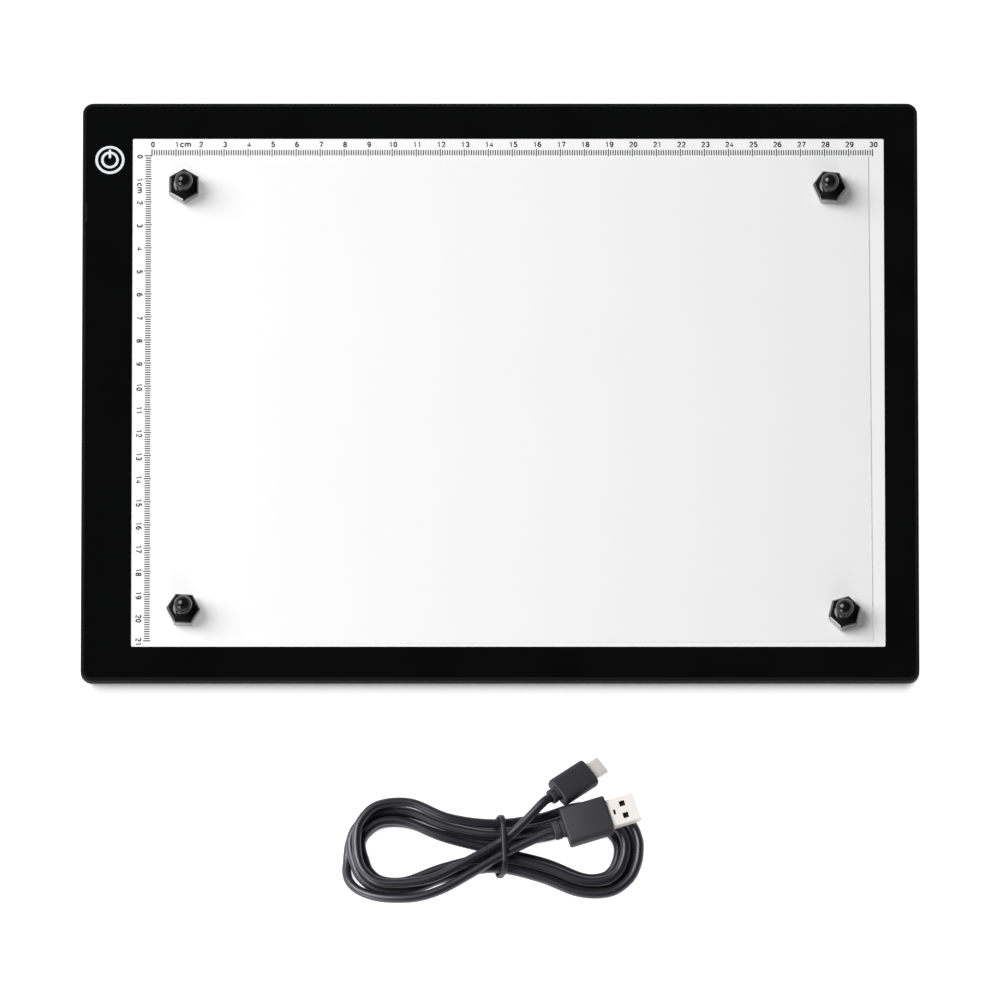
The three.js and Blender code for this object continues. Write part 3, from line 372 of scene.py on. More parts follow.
# In a moulded finish, grain gives the waves to the metre of its grain, and depth its depth in millimetres
finishes = {
    "shell": moulded("padShell", grey(0.005, -0.03), grey(0.008, -0.03), rough=0.55, grain=2600, depth=0.02,
                     constants={"IOR": 1.17}),
    "border": borderFinish(borderLook),
    "steel": metal("steelSheet", grey(0.5), grey(0.42), rough=0.35, stretch=(0.05, 1, 1)),
    "whiteFilm": moulded("whiteFilm", grey(0.86), grey(0.9), rough=0.6, grain=1800, depth=0.01),
    "guide": moulded("lightGuide", grey(0.8, -0.03), grey(0.86, -0.03), rough=0.12, grain=400, depth=0.01,
                     constants={"Transmission Weight": 0.85}),
    "tape": moulded("panelTape", grey(0.5), grey(0.6), rough=0.8, grain=1500, depth=0.03),
    "boardWhite": moulded("boardWhite", grey(0.75), grey(0.82), rough=0.4, grain=1200, depth=0.01),
    "boardGreen": moulded("boardGreen", (0.015, 0.09, 0.04, 1), (0.02, 0.13, 0.055, 1), rough=0.4,
                          grain=1200, depth=0.01),
    "chip": moulded("chipBody", grey(0.012), grey(0.018), rough=0.6, grain=3000, depth=0.01),
    "ceramic": moulded("ceramicBody", (0.5, 0.4, 0.27, 1), (0.6, 0.5, 0.35, 1), rough=0.6, grain=2000,
                       depth=0.01),
    "ferrite": moulded("ferriteBody", grey(0.04), grey(0.06), rough=0.75, grain=2500, depth=0.02),
    "foam": moulded("foamBlock", grey(0.05), grey(0.09), rough=0.95, grain=1100, depth=0.1),
    "wireRed": moulded("wireRed", (0.4, 0.02, 0.02, 1), (0.5, 0.03, 0.03, 1), rough=0.45, grain=1500,
                       depth=0.01),
    "wireBlack": moulded("wireBlack", grey(0.01), grey(0.016), rough=0.45, grain=1500, depth=0.01),
    "rubber": moulded("rubberFoot", grey(0.014), grey(0.024), rough=0.85, grain=2200, depth=0.04),
    "nickel": metal("plugNickel", (1.0, 0.95, 0.91, 1), (0.96, 0.91, 0.87, 1), rough=0.48,
                    stretch=(1, 0.06, 1), metallic=0.3),
    "gold": metal("contactGold", (0.9, 0.63, 0.25, 1), (0.8, 0.52, 0.18, 1), rough=0.25),
    "magnet": metal("magnetPlating", grey(0.7), grey(0.6), rough=0.2),
    "overmould": moulded("plugOvermould", (0.027, 0.026, 0.032, 1), (0.036, 0.035, 0.042, 1), rough=0.55,
                         grain=3200, depth=0.04),
    "tongue": moulded("contactTongue", grey(0.012, 0.06), grey(0.018, 0.06), rough=0.5, grain=2600,
                      depth=0.01),
    "ink": moulded("rulerInk", grey(0.006), grey(0.012), rough=0.6, grain=2600, depth=0.01),
    "silverInk": moulded("powerInk", (0.84, 0.88, 0.91, 1), (0.88, 0.92, 0.95, 1), rough=0.45, grain=2600,
                         depth=0.01),
    "pinGloss": pinFinish(pinLook),
    "jacket": jacketFinish(jacketLook),
    "tie": moulded("tieBand", grey(0.008), grey(0.013), rough=0.45, grain=2600, depth=0.03),
    "panel": litFinish("litPanel", panelLook),
    "paper": litFinish("tracingPaper", paperLook),
}
print("finishes mixed:", len(finishes))

carried = {
    "shell": ["back_cover"],
    "border": ["border_film"],
    "panel": ["front_panel"],
    "steel": ["steel_sheet"],
    "whiteFilm": ["reflector_sheet", "diffuser_sheet"],
    "guide": ["light_guide"],
    "tape": ["panel_tape"],
    "boardWhite": ["led_strip"],
    "boardGreen": ["control_board"],
    "chip": ["touch_chip", "driver_chip", "power_port_tongue", "small_plug_insert"],
    "ceramic": ["capacitor_1", "capacitor_2"],
    "ferrite": ["choke"],
    "foam": ["touch_foam"],
    "wireRed": ["led_lead_positive"],
    "wireBlack": ["led_lead_negative"],
    "rubber": ["foot_front_left", "foot_front_right", "foot_rear_left", "foot_rear_right"],
    "nickel": ["power_port_shell", "large_plug_sleeve"],
    "tongue": ["large_plug_tongue"],
    "magnet": ["pin_rear_left_magnet", "pin_rear_right_magnet", "pin_front_left_magnet",
               "pin_front_right_magnet"],
}
for finish, nodes in carried.items():
    for node in nodes:
        piece = bpy.data.objects[node]
        piece.data.materials.clear()
        piece.data.materials.append(finishes[finish])
print("CAD nodes dressed")

# The power cable: its hank spirals in on the lower layer, crosses the waist, spirals out on the upper one
# and climbs on top of both in its last run. The places along it are counted in half turns of the hank, and
# the shares run from 0 to 1
cable = {
    "diameter": 3.8 * mm,
    "strandGap": 0.66 * mm,
    "middle": (-2.6 * mm, -197.9 * mm, 0.0),  # of the hank, on the floor
    "halfLength": 60.2 * mm,
    "halfWidth": 18.9 * mm,
    "lengthShares": (0.908, 0.072, 0.02),  # of the waves of one, three and five times the angle
    "widthShares": (0.905, 0.455, 0.05),
    "turnBack": 3.5,  # half turns from the large plug to where the cord changes to the upper layer
    "halfTurns": 8,
    "stepsPerHalfTurn": 12,
    "tipCrowding": 0.3,
    "crossing": 0.11,
    "rightSpread": 0.3,
    "frontDrop": 2 * mm,
    "frontDropDepth": 8 * mm,
    "leftShift": {"pitches": 0.46, "length": 0.45, "depth": 8 * mm},
    "lastRun": {"climbFrom": 0.42, "climb": 0.15, "inwardFrom": 0.66, "inwardPitches": 1.3,
                "pinchPitches": 0.37, "pinchX": -14 * mm, "pinchReach": 12 * mm},
    "waistLift": 1.3 * mm,
    "waistReach": 26 * mm,
    "intoCollar": 0.7 * mm,
    "straightOut": 0.3 * mm,
    "pointsPerStep": 6,
    "pointGap": 1.3 * mm,
    "sides": 20,
}
# Each plug's back end in millimetres from the middle of the hank, and its turns in degrees
largePlug = {"back": (24.8, 5.9, 12.7), "yaw": 17.5, "pitch": 0}
smallPlug = {"back": (23.5, 20.6, 12.7), "yaw": 37.5, "pitch": 16}
routeFromLargePlug = [
    (10, -0.5, 12.6), (2.1, -4.7, 12.4), (-10, -12.2, 12.3), (-21, -18.4, 12.1), (-31, -21.6, 11.5),
    (-40.5, -22, 10.5), (-48.5, -20.8, 8.9), (-55.2, -17.9, 7), (-59.3, -13.8, 5), (-60.8, -9, 3.2),
    (-60.5, -3.8, 2.1),
]
routeToSmallPlug = [
    (-56, -5, 10.8), (-53.5, -10.6, 10.9), (-47.7, -15, 11.1), (-37.6, -15.7, 11.5),
    (-25, -13.6, 12.1), (-10, -6, 12.5), (2.1, 1, 12.4), (11.5, 8.8, 13.3),
]


def ease(value, start, end):
    # nought before the start, one past the end, and 3t^2 - 2t^3 between them
    t = np.clip((value - start) / (end - start), 0, 1)
    return t * t * (3 - 2 * t)


def outwardPitches(p, halfTurns, x, y, rightness):
    # the upper layer moves out round the left end, and the last run draws in at the waist and at that end
    shift, last = p["leftShift"], p["lastRun"]
    done = halfTurns - (p["halfTurns"] - 1)
    nearEnd = ease(shift["length"] - rightness, 0, shift["length"])
    out = shift["pitches"] * nearEnd * ease(y, -shift["depth"], shift["depth"])
    pinch = last["pinchPitches"] * np.exp(-(((x - last["pinchX"]) / last["pinchReach"]) ** 2))
    return np.where(done < 0, out, -last["inwardPitches"] * ease(done, last["inwardFrom"], 1) - pinch)


def hankLine(p, halfTurns):
    # x and y are sums of cosine and sine waves of 1, 3 and 5 times the angle, pushed outwards by half a
    # strand pitch for each half turn away from the turning point, spread at the right end and lowered at
    # the front; the angle falls on the way in and rises on the way out, and the height steps up a layer at
    # the crossing and again in the last run
    inwards = halfTurns < p["turnBack"]
    even = np.pi * np.where(inwards, 1 - halfTurns, halfTurns - 3)
    angle = even - p["tipCrowding"] * np.sin(2 * even)
    wave = np.array([1, 3, 5])[:, None]
    length = p["halfLength"] * np.array(p["lengthShares"])[:, None]
    width = p["halfWidth"] * np.array(p["widthShares"])[:, None]
    x = (length * np.cos(wave * angle)).sum(axis=0)
    y = (width * np.sin(wave * angle)).sum(axis=0)
    slopeX = -(length * wave * np.sin(wave * angle)).sum(axis=0)
    slopeY = (width * wave * np.cos(wave * angle)).sum(axis=0)
    steepness = np.hypot(slopeX, slopeY)
    pitch = p["diameter"] + p["strandGap"]
    fromTurnBack = halfTurns - p["turnBack"]
    rightness = (1 + np.cos(angle)) / 2
    spiral = (np.abs(fromTurnBack) - p["turnBack"]) / 2 * (1 + p["rightSpread"] * rightness**3)
    moved = np.where(inwards, 0, outwardPitches(p, halfTurns, x, y, rightness))
    offset = pitch * (spiral + moved)
    x = x + slopeY / steepness * offset
    y = y - slopeX / steepness * offset
    atWaist = np.exp(-((x / p["waistReach"]) ** 2))
    y = y - p["frontDrop"] * (1 - atWaist) * ease(-y, 0, p["frontDropDepth"])
    crossing = np.clip(fromTurnBack / p["crossing"], -1, 1)
    ramp = np.sin(crossing * np.pi / 2)
    y = np.where(np.abs(crossing) < 1, np.abs(y) * ramp, y)
    climbFrom = p["halfTurns"] - 1 + p["lastRun"]["climbFrom"]
    layer = (ramp + 1) / 2 + ease(halfTurns, climbFrom, climbFrom + p["lastRun"]["climb"])
    z = p["diameter"] / 2 + p["waistLift"] * atWaist + pitch * layer
    return np.stack([x, y, z], axis=-1)


def plugTurn(plug):
    # the plug's own X axis is pitched down, then turned about the vertical
    turn = Euler((0, math.radians(plug["pitch"]), math.radians(plug["yaw"])), "XYZ")
    return np.array(turn.to_matrix())


def cordEnd(p, plug):
    # points on the plug's axis: one inside its collar and two behind it, a cord's diameter apart
    back = np.array(plug["back"]) * mm
    axis = plugTurn(plug)[:, 0]
    steps = np.array([-p["intoCollar"], p["straightOut"], p["straightOut"] + p["diameter"]])
    return back - axis * steps[:, None]


def threadThrough(points, perStep):
    # a Catmull-Rom curve: between two points, a cubic whose slope at each is half the step past it
    padded = np.concatenate([2 * points[:1] - points[1:2], points, 2 * points[-1:] - points[-2:-1]])
    a, b, c, d = padded[:-3, None], padded[1:-2, None], padded[2:-1, None], padded[3:, None]
    t = np.linspace(0, 1, perStep, endpoint=False)[None, :, None]
    square, cube = 2 * a - 5 * b + 4 * c - d, 3 * b - a - 3 * c + d
    curve = (2 * b + (c - a) * t + square * t**2 + cube * t**3) / 2
    return np.concatenate([curve.reshape(-1, 3), points[-1:]])


def evenlySpaced(points, gap):
    # the same line, its points spread evenly along its length
    run = np.concatenate([[0], np.cumsum(np.linalg.norm(np.diff(points, axis=0), axis=1))])
    at = np.linspace(0, run[-1], int(run[-1] / gap))
    return np.stack([np.interp(at, run, points[:, axis]) for axis in range(3)], axis=-1), run[-1]


def cordLine(p):
    turns = np.arange(p["halfTurns"] * p["stepsPerHalfTurn"] + 1) / p["stepsPerHalfTurn"]
    route = [
        cordEnd(p, largePlug),
        np.array(routeFromLargePlug) * mm,
        hankLine(p, turns),
        np.array(routeToSmallPlug) * mm,
        cordEnd(p, smallPlug)[::-1],
    ]
    points = threadThrough(np.concatenate(route), p["pointsPerStep"])
    return evenlySpaced(points + np.array(p["middle"]), p["pointGap"])


def makeTube(name, line, length, radius, sides):
    # a circle carried along the line, kept level by the cross product of the line's slope and up
    slope = np.gradient(line, axis=0)
    slope /= np.linalg.norm(slope, axis=1, keepdims=True)
    level = np.cross(np.array([0, 0, 1.0]), slope)
    level /= np.linalg.norm(level, axis=1, keepdims=True)
    upright = np.cross(slope, level)
    angle = np.linspace(0, 2 * np.pi, sides, endpoint=False)[None, :, None]
    points = line[:, None] + radius * (np.cos(angle) * level[:, None] + np.sin(angle) * upright[:, None])
    along = np.linspace(0, length, len(line))[:, None] * np.ones(sides)
    around = np.ones(len(line))[:, None] * np.abs(np.linspace(-1, 1, sides, endpoint=False))
    return makeLoft(name, points, uv=np.stack([along, around * 2 * np.pi * radius], axis=-1))


line, cordLength = cordLine(cable)
cord = makeTube("powerCord", line, cordLength, cable["diameter"] / 2, cable["sides"])
place(cord, "cable", "cable_jacket", finishes["jacket"], "cable_hank")
print("cord laid: %.3f m" % cordLength)

# The plugs: a collar and a moulded body round the metal. The collar and body are given as length, width,
# height and corner radius, and the mouth as width, height and corner radius. From here to the floor, sizes
# are in millimetres and angles in degrees
largeBody = {
    "collar": (4.8, 7.4, 5.8, 2.5), "body": (19.2, 16.2, 8.0, 1.8), "mouth": (12.6, 5.1, 0.8),
    "sunk": 2.4, "edge": 0.9, "collarEdge": 0.5, "groove": 0.35,
}
smallBody = {
    "collar": (3.6, 6.2, 5.0, 2.2), "body": (17.5, 12.4, 6.4, 2.4), "mouth": (8.85, 3.0, 1.45),
    "sunk": 2.4, "edge": 0.8, "collarEdge": 0.45, "groove": 0.3,
}
moulding = {
    "grooveShares": (0.55, 0.62, 0.78, 0.85), "edgeSteps": 6, "perQuarter": 9, "leastRadius": 0.3,
    "shortOfRound": 0.01, "sharpAngle": 38,
}


def setOnPlug(points, plug):
    turned = points @ plugTurn(plug).T
    return (turned + np.array(plug["back"])) * mm + np.array(cable["middle"])


def makeOvermould(name, plug, p):
    # rounded rectangles along X: the collar's rear edge, its groove, the body's two rounded ends and the
    # pocket that the metal stands in; near an end each ring draws in by a quarter circle
    steps = moulding["edgeSteps"]
    turn = np.linspace(0, np.pi / 2, steps)
    along, inwards = 1 - np.cos(turn), 1 - np.sin(turn)
    collarLength, *collarSize = p["collar"]
    bodyLength, *bodySize = p["body"]
    front = collarLength + bodyLength
    edge, small, groove = p["edge"], p["collarEdge"], p["groove"]
    x = np.concatenate([
        small * along,
        collarLength * np.array(moulding["grooveShares"]), [collarLength],
        collarLength + edge * along,
        front - edge * along[::-1],
        [front, front - p["sunk"]],
    ])
    inset = np.concatenate([
        small * inwards, [0, groove, groove, 0, 0], edge * inwards, edge * inwards[::-1], [0, 0],
    ])
    rings = (steps + len(moulding["grooveShares"]) + 1, 2 * steps, 2)
    sizes = np.repeat([collarSize, bodySize, p["mouth"]], rings, axis=0)
    width, height = sizes[:, 0] - 2 * inset, sizes[:, 1] - 2 * inset
    radius = np.maximum(sizes[:, 2] - inset, moulding["leastRadius"])
    radius = np.minimum(radius, height / 2 - moulding["shortOfRound"])
    u, v = roundedRing(width, height, radius, moulding["perQuarter"])
    points = np.stack([np.broadcast_to(x[:, None], u.shape), u, v], axis=-1)
    piece = makeLoft(name, setOnPlug(points, plug))
    piece.data.set_sharp_from_angle(angle=math.radians(moulding["sharpAngle"]))
    return piece


largeOvermould = makeOvermould("largePlugBody", largePlug, largeBody)
smallOvermould = makeOvermould("smallPlugBody", smallPlug, smallBody)
place(largeOvermould, "cable", "overmould", finishes["overmould"], "large_plug_overmould")
place(smallOvermould, "cable", "overmould", finishes["overmould"], "small_plug_overmould")

# The small plug's metal: a drawn stadium tube with a rounded lip
smallMetal = {
    "width": 8.25, "height": 2.4, "wall": 0.25, "from": 18.7, "to": 27.75, "lip": 0.1, "lipSteps": 7,
    "perQuarter": 12, "shortOfRound": 0.01, "sharpAngle": 40,
}


def makeSmallSleeve(p):
    # a stadium ring carried out along X, over the lip and back in along the inside
    lip = np.linspace(0, np.pi, p["lipSteps"])
    x = np.concatenate([[p["from"]], p["to"] - p["lip"] + p["lip"] * np.sin(lip), [p["from"]]])
    inset = np.concatenate([[0], p["wall"] / 2 * (1 - np.cos(lip)), [p["wall"]]])
    width, height = p["width"] - 2 * inset, p["height"] - 2 * inset
    u, v = roundedRing(width, height, height / 2 - p["shortOfRound"], p["perQuarter"])
    points = np.stack([np.broadcast_to(x[:, None], u.shape), u, v], axis=-1)
    piece = makeLoft("smallPlugSleeve", setOnPlug(points, smallPlug), closedAlong=True)
    piece.data.set_sharp_from_angle(angle=math.radians(p["sharpAngle"]))
    return piece


place(makeSmallSleeve(smallMetal), "cable", "nickel", finishes["nickel"], "small_plug_sleeve")

# Contacts: flat gold strips, four on the large plug's tongue, a dozen on each side of the small one's slot
contacts = {
    "large": {"count": 4, "pitch": 2.3, "width": 1.1, "from": 31.8, "to": 35.0, "z": 0.29,
              "thick": 0.05},
    "small": {"count": 12, "pitch": 0.5, "width": 0.28, "from": 23.2, "to": 26.6, "z": 0.4,
              "thick": 0.04},
}


def boxes(lows, highs):
    # the eight corners of each box, low and high taken in turn, and its six faces
    pick = np.array([(a, b, c) for c in (0, 1) for b in (0, 1) for a in (0, 1)])
    corners = np.where(pick[None] == 1, highs[:, None], lows[:, None])
    six = np.array([(0, 2, 3, 1), (4, 5, 7, 6), (0, 1, 5, 4), (2, 6, 7, 3), (0, 4, 6, 2), (1, 3, 7, 5)])
    faces = six[None] + 8 * np.arange(len(lows))[:, None, None]
    return corners.reshape(-1, 3), faces.reshape(-1, 4).tolist()


def makeContacts(name, plug, p, sides):
    # equal flat boxes side by side along Y, on each side of the tongue that is named by its sign
    y = (np.arange(p["count"]) - (p["count"] - 1) / 2) * p["pitch"]
    y = np.tile(y, len(sides))
    z = np.repeat([side * p["z"] for side in sides], p["count"])
    middle = np.stack([np.full(len(y), (p["from"] + p["to"]) / 2), y, z], axis=-1)
    half = np.array([p["to"] - p["from"], p["width"], p["thick"]]) / 2
    points, faces = boxes(middle - half, middle + half)
    return makeMesh(name, setOnPlug(points, plug), faces, smooth=False)


largeContacts = makeContacts("largePlugContacts", largePlug, contacts["large"], (1,))
smallContacts = makeContacts("smallPlugContacts", smallPlug, contacts["small"], (-1, 1))
place(largeContacts, "cable", "nickel", finishes["gold"])
place(smallContacts, "cable", "nickel", finishes["gold"])

# The tie: a thin strap round the waist, over both layers and the two ends that cross them
tie = {
    "x": 2.7, "lean": 2.7, "thick": 1.0, "width": 2.2, "clearance": 0.75, "cornerRadius": 5.0,
    "topLean": 3.2, "squareness": 0.7, "perQuarter": 14, "sides": 16,
}


def squarer(wave, power):
    # a cosine or sine wave raised to a power below one, its signs kept, which makes a circle squarer
    return np.sign(wave) * np.abs(wave) ** power


def makeTie(p):
    # an oval section carried round a rounded rectangle that stands across the waist, its top to the right,
    # and spans the outermost strands there: the last two runs, each at its middle
    across = hankLine(cable, cable["halfTurns"] - np.array([1.5, 0.5])) / mm
    reach = cable["diameter"] / mm / 2 + p["clearance"]
    pitch = (cable["diameter"] + cable["strandGap"]) / mm
    width = across[1, 1] - across[0, 1] + 2 * reach + p["thick"]
    height = (cable["diameter"] / 2 + cable["waistLift"]) / mm + 2 * pitch + reach
    u, v = roundedRing(width, height, p["cornerRadius"] + p["thick"] / 2, p["perQuarter"])
    u, v = u[0] + across[:, 1].mean(), v[0] + p["thick"] / 2 + height / 2
    angle = quarterTurns(p["perQuarter"])[:, None]
    section = np.linspace(2 * np.pi, 0, p["sides"], endpoint=False)[None]
    out = p["thick"] / 2 * squarer(np.cos(section), p["squareness"])
    y = u[:, None] + out * np.cos(angle)
    z = v[:, None] + out * np.sin(angle)
    x = p["width"] / 2 * squarer(np.sin(section), p["squareness"]) + p["topLean"] * (z / height - 0.5)
    lean = math.radians(p["lean"])
    points = np.stack([x * math.cos(lean) - y * math.sin(lean) + p["x"],
                       x * math.sin(lean) + y * math.cos(lean), z], axis=-1)
    return makeLoft("cableTie", points * mm + np.array(cable["middle"]), closedAlong=True)


tieBand = place(makeTie(tie), "cable", "cable_tie", finishes["tie"], "cable_tie")

print("plugs and tie on the cord")

# Push pins: a hexagonal base that turns round into a flared neck and a ball
pin = {
    "acrossFlats": 12.4, "baseHeight": 6.0, "chamfer": 0.7, "ballRadius": 3.75, "neckRadius": 2.2,
    "skirtRadius": 4.6, "skirtMargin": 0.2, "skirtHexagon": 0.12, "ballRise": 5.75, "pocketRadius": 4.75,
    "pocketDepth": 2.65, "pocketMiddle": 0.02, "cornerEase": 0.16, "cornerSteps": 5, "neckSteps": 12,
    "ballSteps": 34, "poleGap": 0.01, "cornerPower": 44, "sides": 144, "standsAt": 5.8,
}
# Where each pin stands and how far it is turned
pinPlaces = {
    "rear_left": (-131.5, 87.8, 30), "rear_right": (137.2, 87.3, -5.5),
    "front_left": (-131.2, -95.5, -3), "front_right": (142.8, -97.0, 16.7),
}


def pinProfile(p):
    # radius, height and how hexagonal the ring is, from the pocket's middle round to the top of the ball
    half, flare = p["acrossFlats"] / 2, p["skirtRadius"] - p["neckRadius"]
    top, chamfer = p["baseHeight"], p["chamfer"]
    ballHeight = top + p["ballRise"]
    base = easeCorners([
        (p["pocketMiddle"], p["pocketDepth"], 0), (p["pocketRadius"], p["pocketDepth"], 0),
        (p["pocketRadius"], 0, 0), (half - chamfer, 0, 1), (half, chamfer, 1),
        (half, top - chamfer, 1), (half - chamfer, top, 1),
        (p["skirtRadius"] + p["skirtMargin"], top, p["skirtHexagon"]),
    ], p["cornerEase"], p["cornerSteps"])
    turn = np.linspace(-np.pi / 2, -np.pi, p["neckSteps"])
    neck = np.stack([p["skirtRadius"] + flare * np.cos(turn), top + flare + flare * np.sin(turn), 0 * turn],
                    axis=-1)
    start = -np.arccos(p["neckRadius"] / p["ballRadius"])
    rise = np.linspace(start, np.pi / 2 - p["poleGap"], p["ballSteps"])
    ball = np.stack([p["ballRadius"] * np.cos(rise), ballHeight + p["ballRadius"] * np.sin(rise), 0 * rise],
                    axis=-1)
    return np.concatenate([base, neck, ball])


def makePin(corner, p):
    # the hexagon's radius at an angle is its apothem over the root of the summed powers of the cosines to
    # its three pairs of faces; the high power leaves its corners hardly rounded
    x, y, turn = pinPlaces[corner]
    radius, height, hexness = pinProfile(p).T[:, :, None]
    angle = np.linspace(0, 2 * np.pi, p["sides"], endpoint=False)
    faces = np.abs(np.cos(angle[:, None] - np.pi / 6 - np.arange(3) * np.pi / 3)) ** p["cornerPower"]
    hexagon = faces.sum(axis=1) ** (-1 / p["cornerPower"])
    reach = radius * (1 + hexness * (hexagon - 1))
    around = angle + math.radians(turn)
    points = np.stack([x + reach * np.cos(around), y + reach * np.sin(around),
                       height + p["standsAt"] + 0 * reach], axis=-1)
    piece = makeLoft("pin_%s" % corner, points * mm)
    return place(piece, "pin_" + corner, "pin_gloss", finishes["pinGloss"], "pin_%s_knob" % corner)


for corner in pinPlaces:
    makePin(corner, pin)
print("pins stood")

# The sheet: A4 paper that lies a little uneven, its free edges lifted a hair
sheet = {
    "size": (297.0, 210.0), "centre": (5.4, -3.9), "turn": 0.33, "thick": 0.1, "lies": 5.53,
    "ripple": 0.05, "edgeLift": 0.1, "edgeReach": 14.0, "grid": (166, 118),
    "wave": {"along": 23, "start": 1.1, "across": 31},
    "slant": {"share": 0.6, "slope": 1.6, "along": 17, "start": 0.4},
    "edgeWave": {"least": 0.6, "share": 0.4, "along": 37},
}


def makeSheet(p):
    # a flat grid raised by a few slow waves and by an exponential lift towards its edges
    length, width = p["size"]
    u, v = np.meshgrid(np.linspace(-0.5, 0.5, p["grid"][0]) * length,
                       np.linspace(-0.5, 0.5, p["grid"][1]) * width, indexing="ij")
    wave, slant, edgeWave = p["wave"], p["slant"], p["edgeWave"]
    waves = np.sin(u / wave["along"] + wave["start"]) * np.cos(v / wave["across"])
    waves += slant["share"] * np.sin((u + slant["slope"] * v) / slant["along"] + slant["start"])
    toEdge = np.minimum(length / 2 - np.abs(u), width / 2 - np.abs(v))
    uneven = edgeWave["least"] + edgeWave["share"] * np.sin((u - v) / edgeWave["along"])
    lift = p["edgeLift"] * np.exp(-toEdge / p["edgeReach"]) * uneven
    rise = p["ripple"] * (1 + waves) / 2 + lift
    turn = math.radians(p["turn"])
    x = p["centre"][0] + u * math.cos(turn) - v * math.sin(turn)
    y = p["centre"][1] + u * math.sin(turn) + v * math.cos(turn)
    points = np.stack([x, y, p["lies"] + p["thick"] + rise], axis=-1) * mm
    piece = makeMesh("tracingSheet", points, gridFaces(*p["grid"], False).tolist(), smooth=False)
    solid = piece.modifiers.new("thickness", "SOLIDIFY")
    solid.thickness = p["thick"] * mm
    solid.offset = -1
    return piece


paper = place(makeSheet(sheet), "sheet", "paper", finishes["paper"], "tracing_sheet")
print("sheet laid")

# Rulers printed on the lit window: 0 to 30 cm along its rear edge and 0 to 21 cm down its left edge
ruler = {
    "zeroX": -144.9, "zeroY": 102.17, "top": 5.45, "thick": 0.02, "tickWidth": 0.45,
    "tickLow": 0.2, "tickHigh": 2.5, "longLow": -0.2, "longHigh": 2.9,
    "downLow": 0.3, "downHigh": 2.6, "downLongLow": 0.0, "downLongHigh": 3.0,
    "figureHeight": 2.0, "pen": 0.52, "mitreLimit": 0.4, "figurePitch": 1.85, "figureShift": 0.4,
    "figureY": 107.1, "figureX": -149.85, "letters": (("c", 12.65), ("m", 14.95)),
    "centimetre": 10, "acrossTo": 300, "downTo": 210,
}


def makeTicks(p):
    # a thin bar for each millimetre, a little longer at each centimetre
    across, down = np.arange(p["acrossTo"] + 1), np.arange(p["downTo"] + 1)
    low = np.where(across % p["centimetre"] == 0, p["longLow"], p["tickLow"])
    high = np.where(across % p["centimetre"] == 0, p["longHigh"], p["tickHigh"])
    near = np.where(down % p["centimetre"] == 0, p["downLongLow"], p["downLow"])
    far = np.where(down % p["centimetre"] == 0, p["downLongHigh"], p["downHigh"])
    x, y, half = p["zeroX"] + across, p["zeroY"] - down, p["tickWidth"] / 2
    bottom = p["top"] + p["thick"] / 2
    lows = np.concatenate([np.stack([x - half, p["zeroY"] + low], axis=-1),
                           np.stack([p["zeroX"] - far, y - half], axis=-1)])
    highs = np.concatenate([np.stack([x + half, p["zeroY"] + high], axis=-1),
                            np.stack([p["zeroX"] - near, y + half], axis=-1)])
    level = np.full((len(lows), 1), bottom)
    points, faces = boxes(np.hstack([lows, level]), np.hstack([highs, level + p["thick"]]))
    return makeMesh("rulerTicks", points * mm, faces, smooth=False)


def arc(x, y, width, height, start, end, steps=16):
    # part of an ellipse about x and y, from one angle in degrees to another
    angle = np.radians(np.linspace(start, end, steps))
    return np.stack([x + width * np.cos(angle), y + height * np.sin(angle)], axis=-1)


def drawCharacters():
    # the pen's paths for each character, one high and centred on x = 0
    six = [arc(0, 0.31, 0.28, 0.31, 90, 450), arc(0.05, 0.5, 0.33, 0.5, 60, 195)]
    return {
        "0": [arc(0, 0.5, 0.28, 0.5, 0, 360)],
        "1": [np.array([(-0.19, 0.76), (0.06, 1), (0.06, 0)])],
        "2": [np.concatenate([arc(0, 0.71, 0.28, 0.29, 165, -32), [(-0.29, 0), (0.31, 0)]])],
        "3": [arc(0, 0.75, 0.25, 0.25, 155, -90), arc(0, 0.25, 0.29, 0.25, 90, -160)],
        "4": [np.array([(0.14, 0), (0.14, 1), (-0.31, 0.27), (0.33, 0.27)])],
        "5": [np.concatenate([[(0.26, 1), (-0.2, 1), (-0.25, 0.5)], arc(0, 0.32, 0.29, 0.32, 125, -155)])],
        "6": six,
        "7": [np.array([(-0.3, 1), (0.3, 1), (-0.06, 0)])],
        "8": [arc(0, 0.76, 0.24, 0.24, 0, 360), arc(0, 0.26, 0.29, 0.26, 0, 360)],
        "9": [np.array([0, 1]) - path for path in six],
        "c": [arc(0, 0.37, 0.36, 0.37, 45, 315)],
        "m": [np.array([(-0.54, 0), (-0.54, 0.76)]),
              np.concatenate([arc(-0.27, 0.49, 0.27, 0.27, 180, 0), [(0, 0)]]),
              np.concatenate([arc(0.27, 0.49, 0.27, 0.27, 180, 0), [(0.54, 0)]])],
    }


def penStroke(path, p):
    # a flat bar carried along the path: at each point it stands across the mean of the two steps there
    step = np.diff(path, axis=0)
    step /= np.linalg.norm(step, axis=1, keepdims=True)
    before, after = np.concatenate([step[:1], step]), np.concatenate([step, step[-1:]])
    mean = (before + after) / 2
    mean /= np.maximum((mean**2).sum(axis=1, keepdims=True), p["mitreLimit"])
    side = np.stack([-mean[:, 1], mean[:, 0]], axis=-1) * p["pen"] / 2
    low = np.full((len(path), 1), p["top"] + p["thick"] / 2)
    high = low + p["thick"]
    left, right = path + side, path - side
    corners = ((left, low), (left, high), (right, high), (right, low))
    return np.stack([np.hstack(corner) for corner in corners], axis=1)


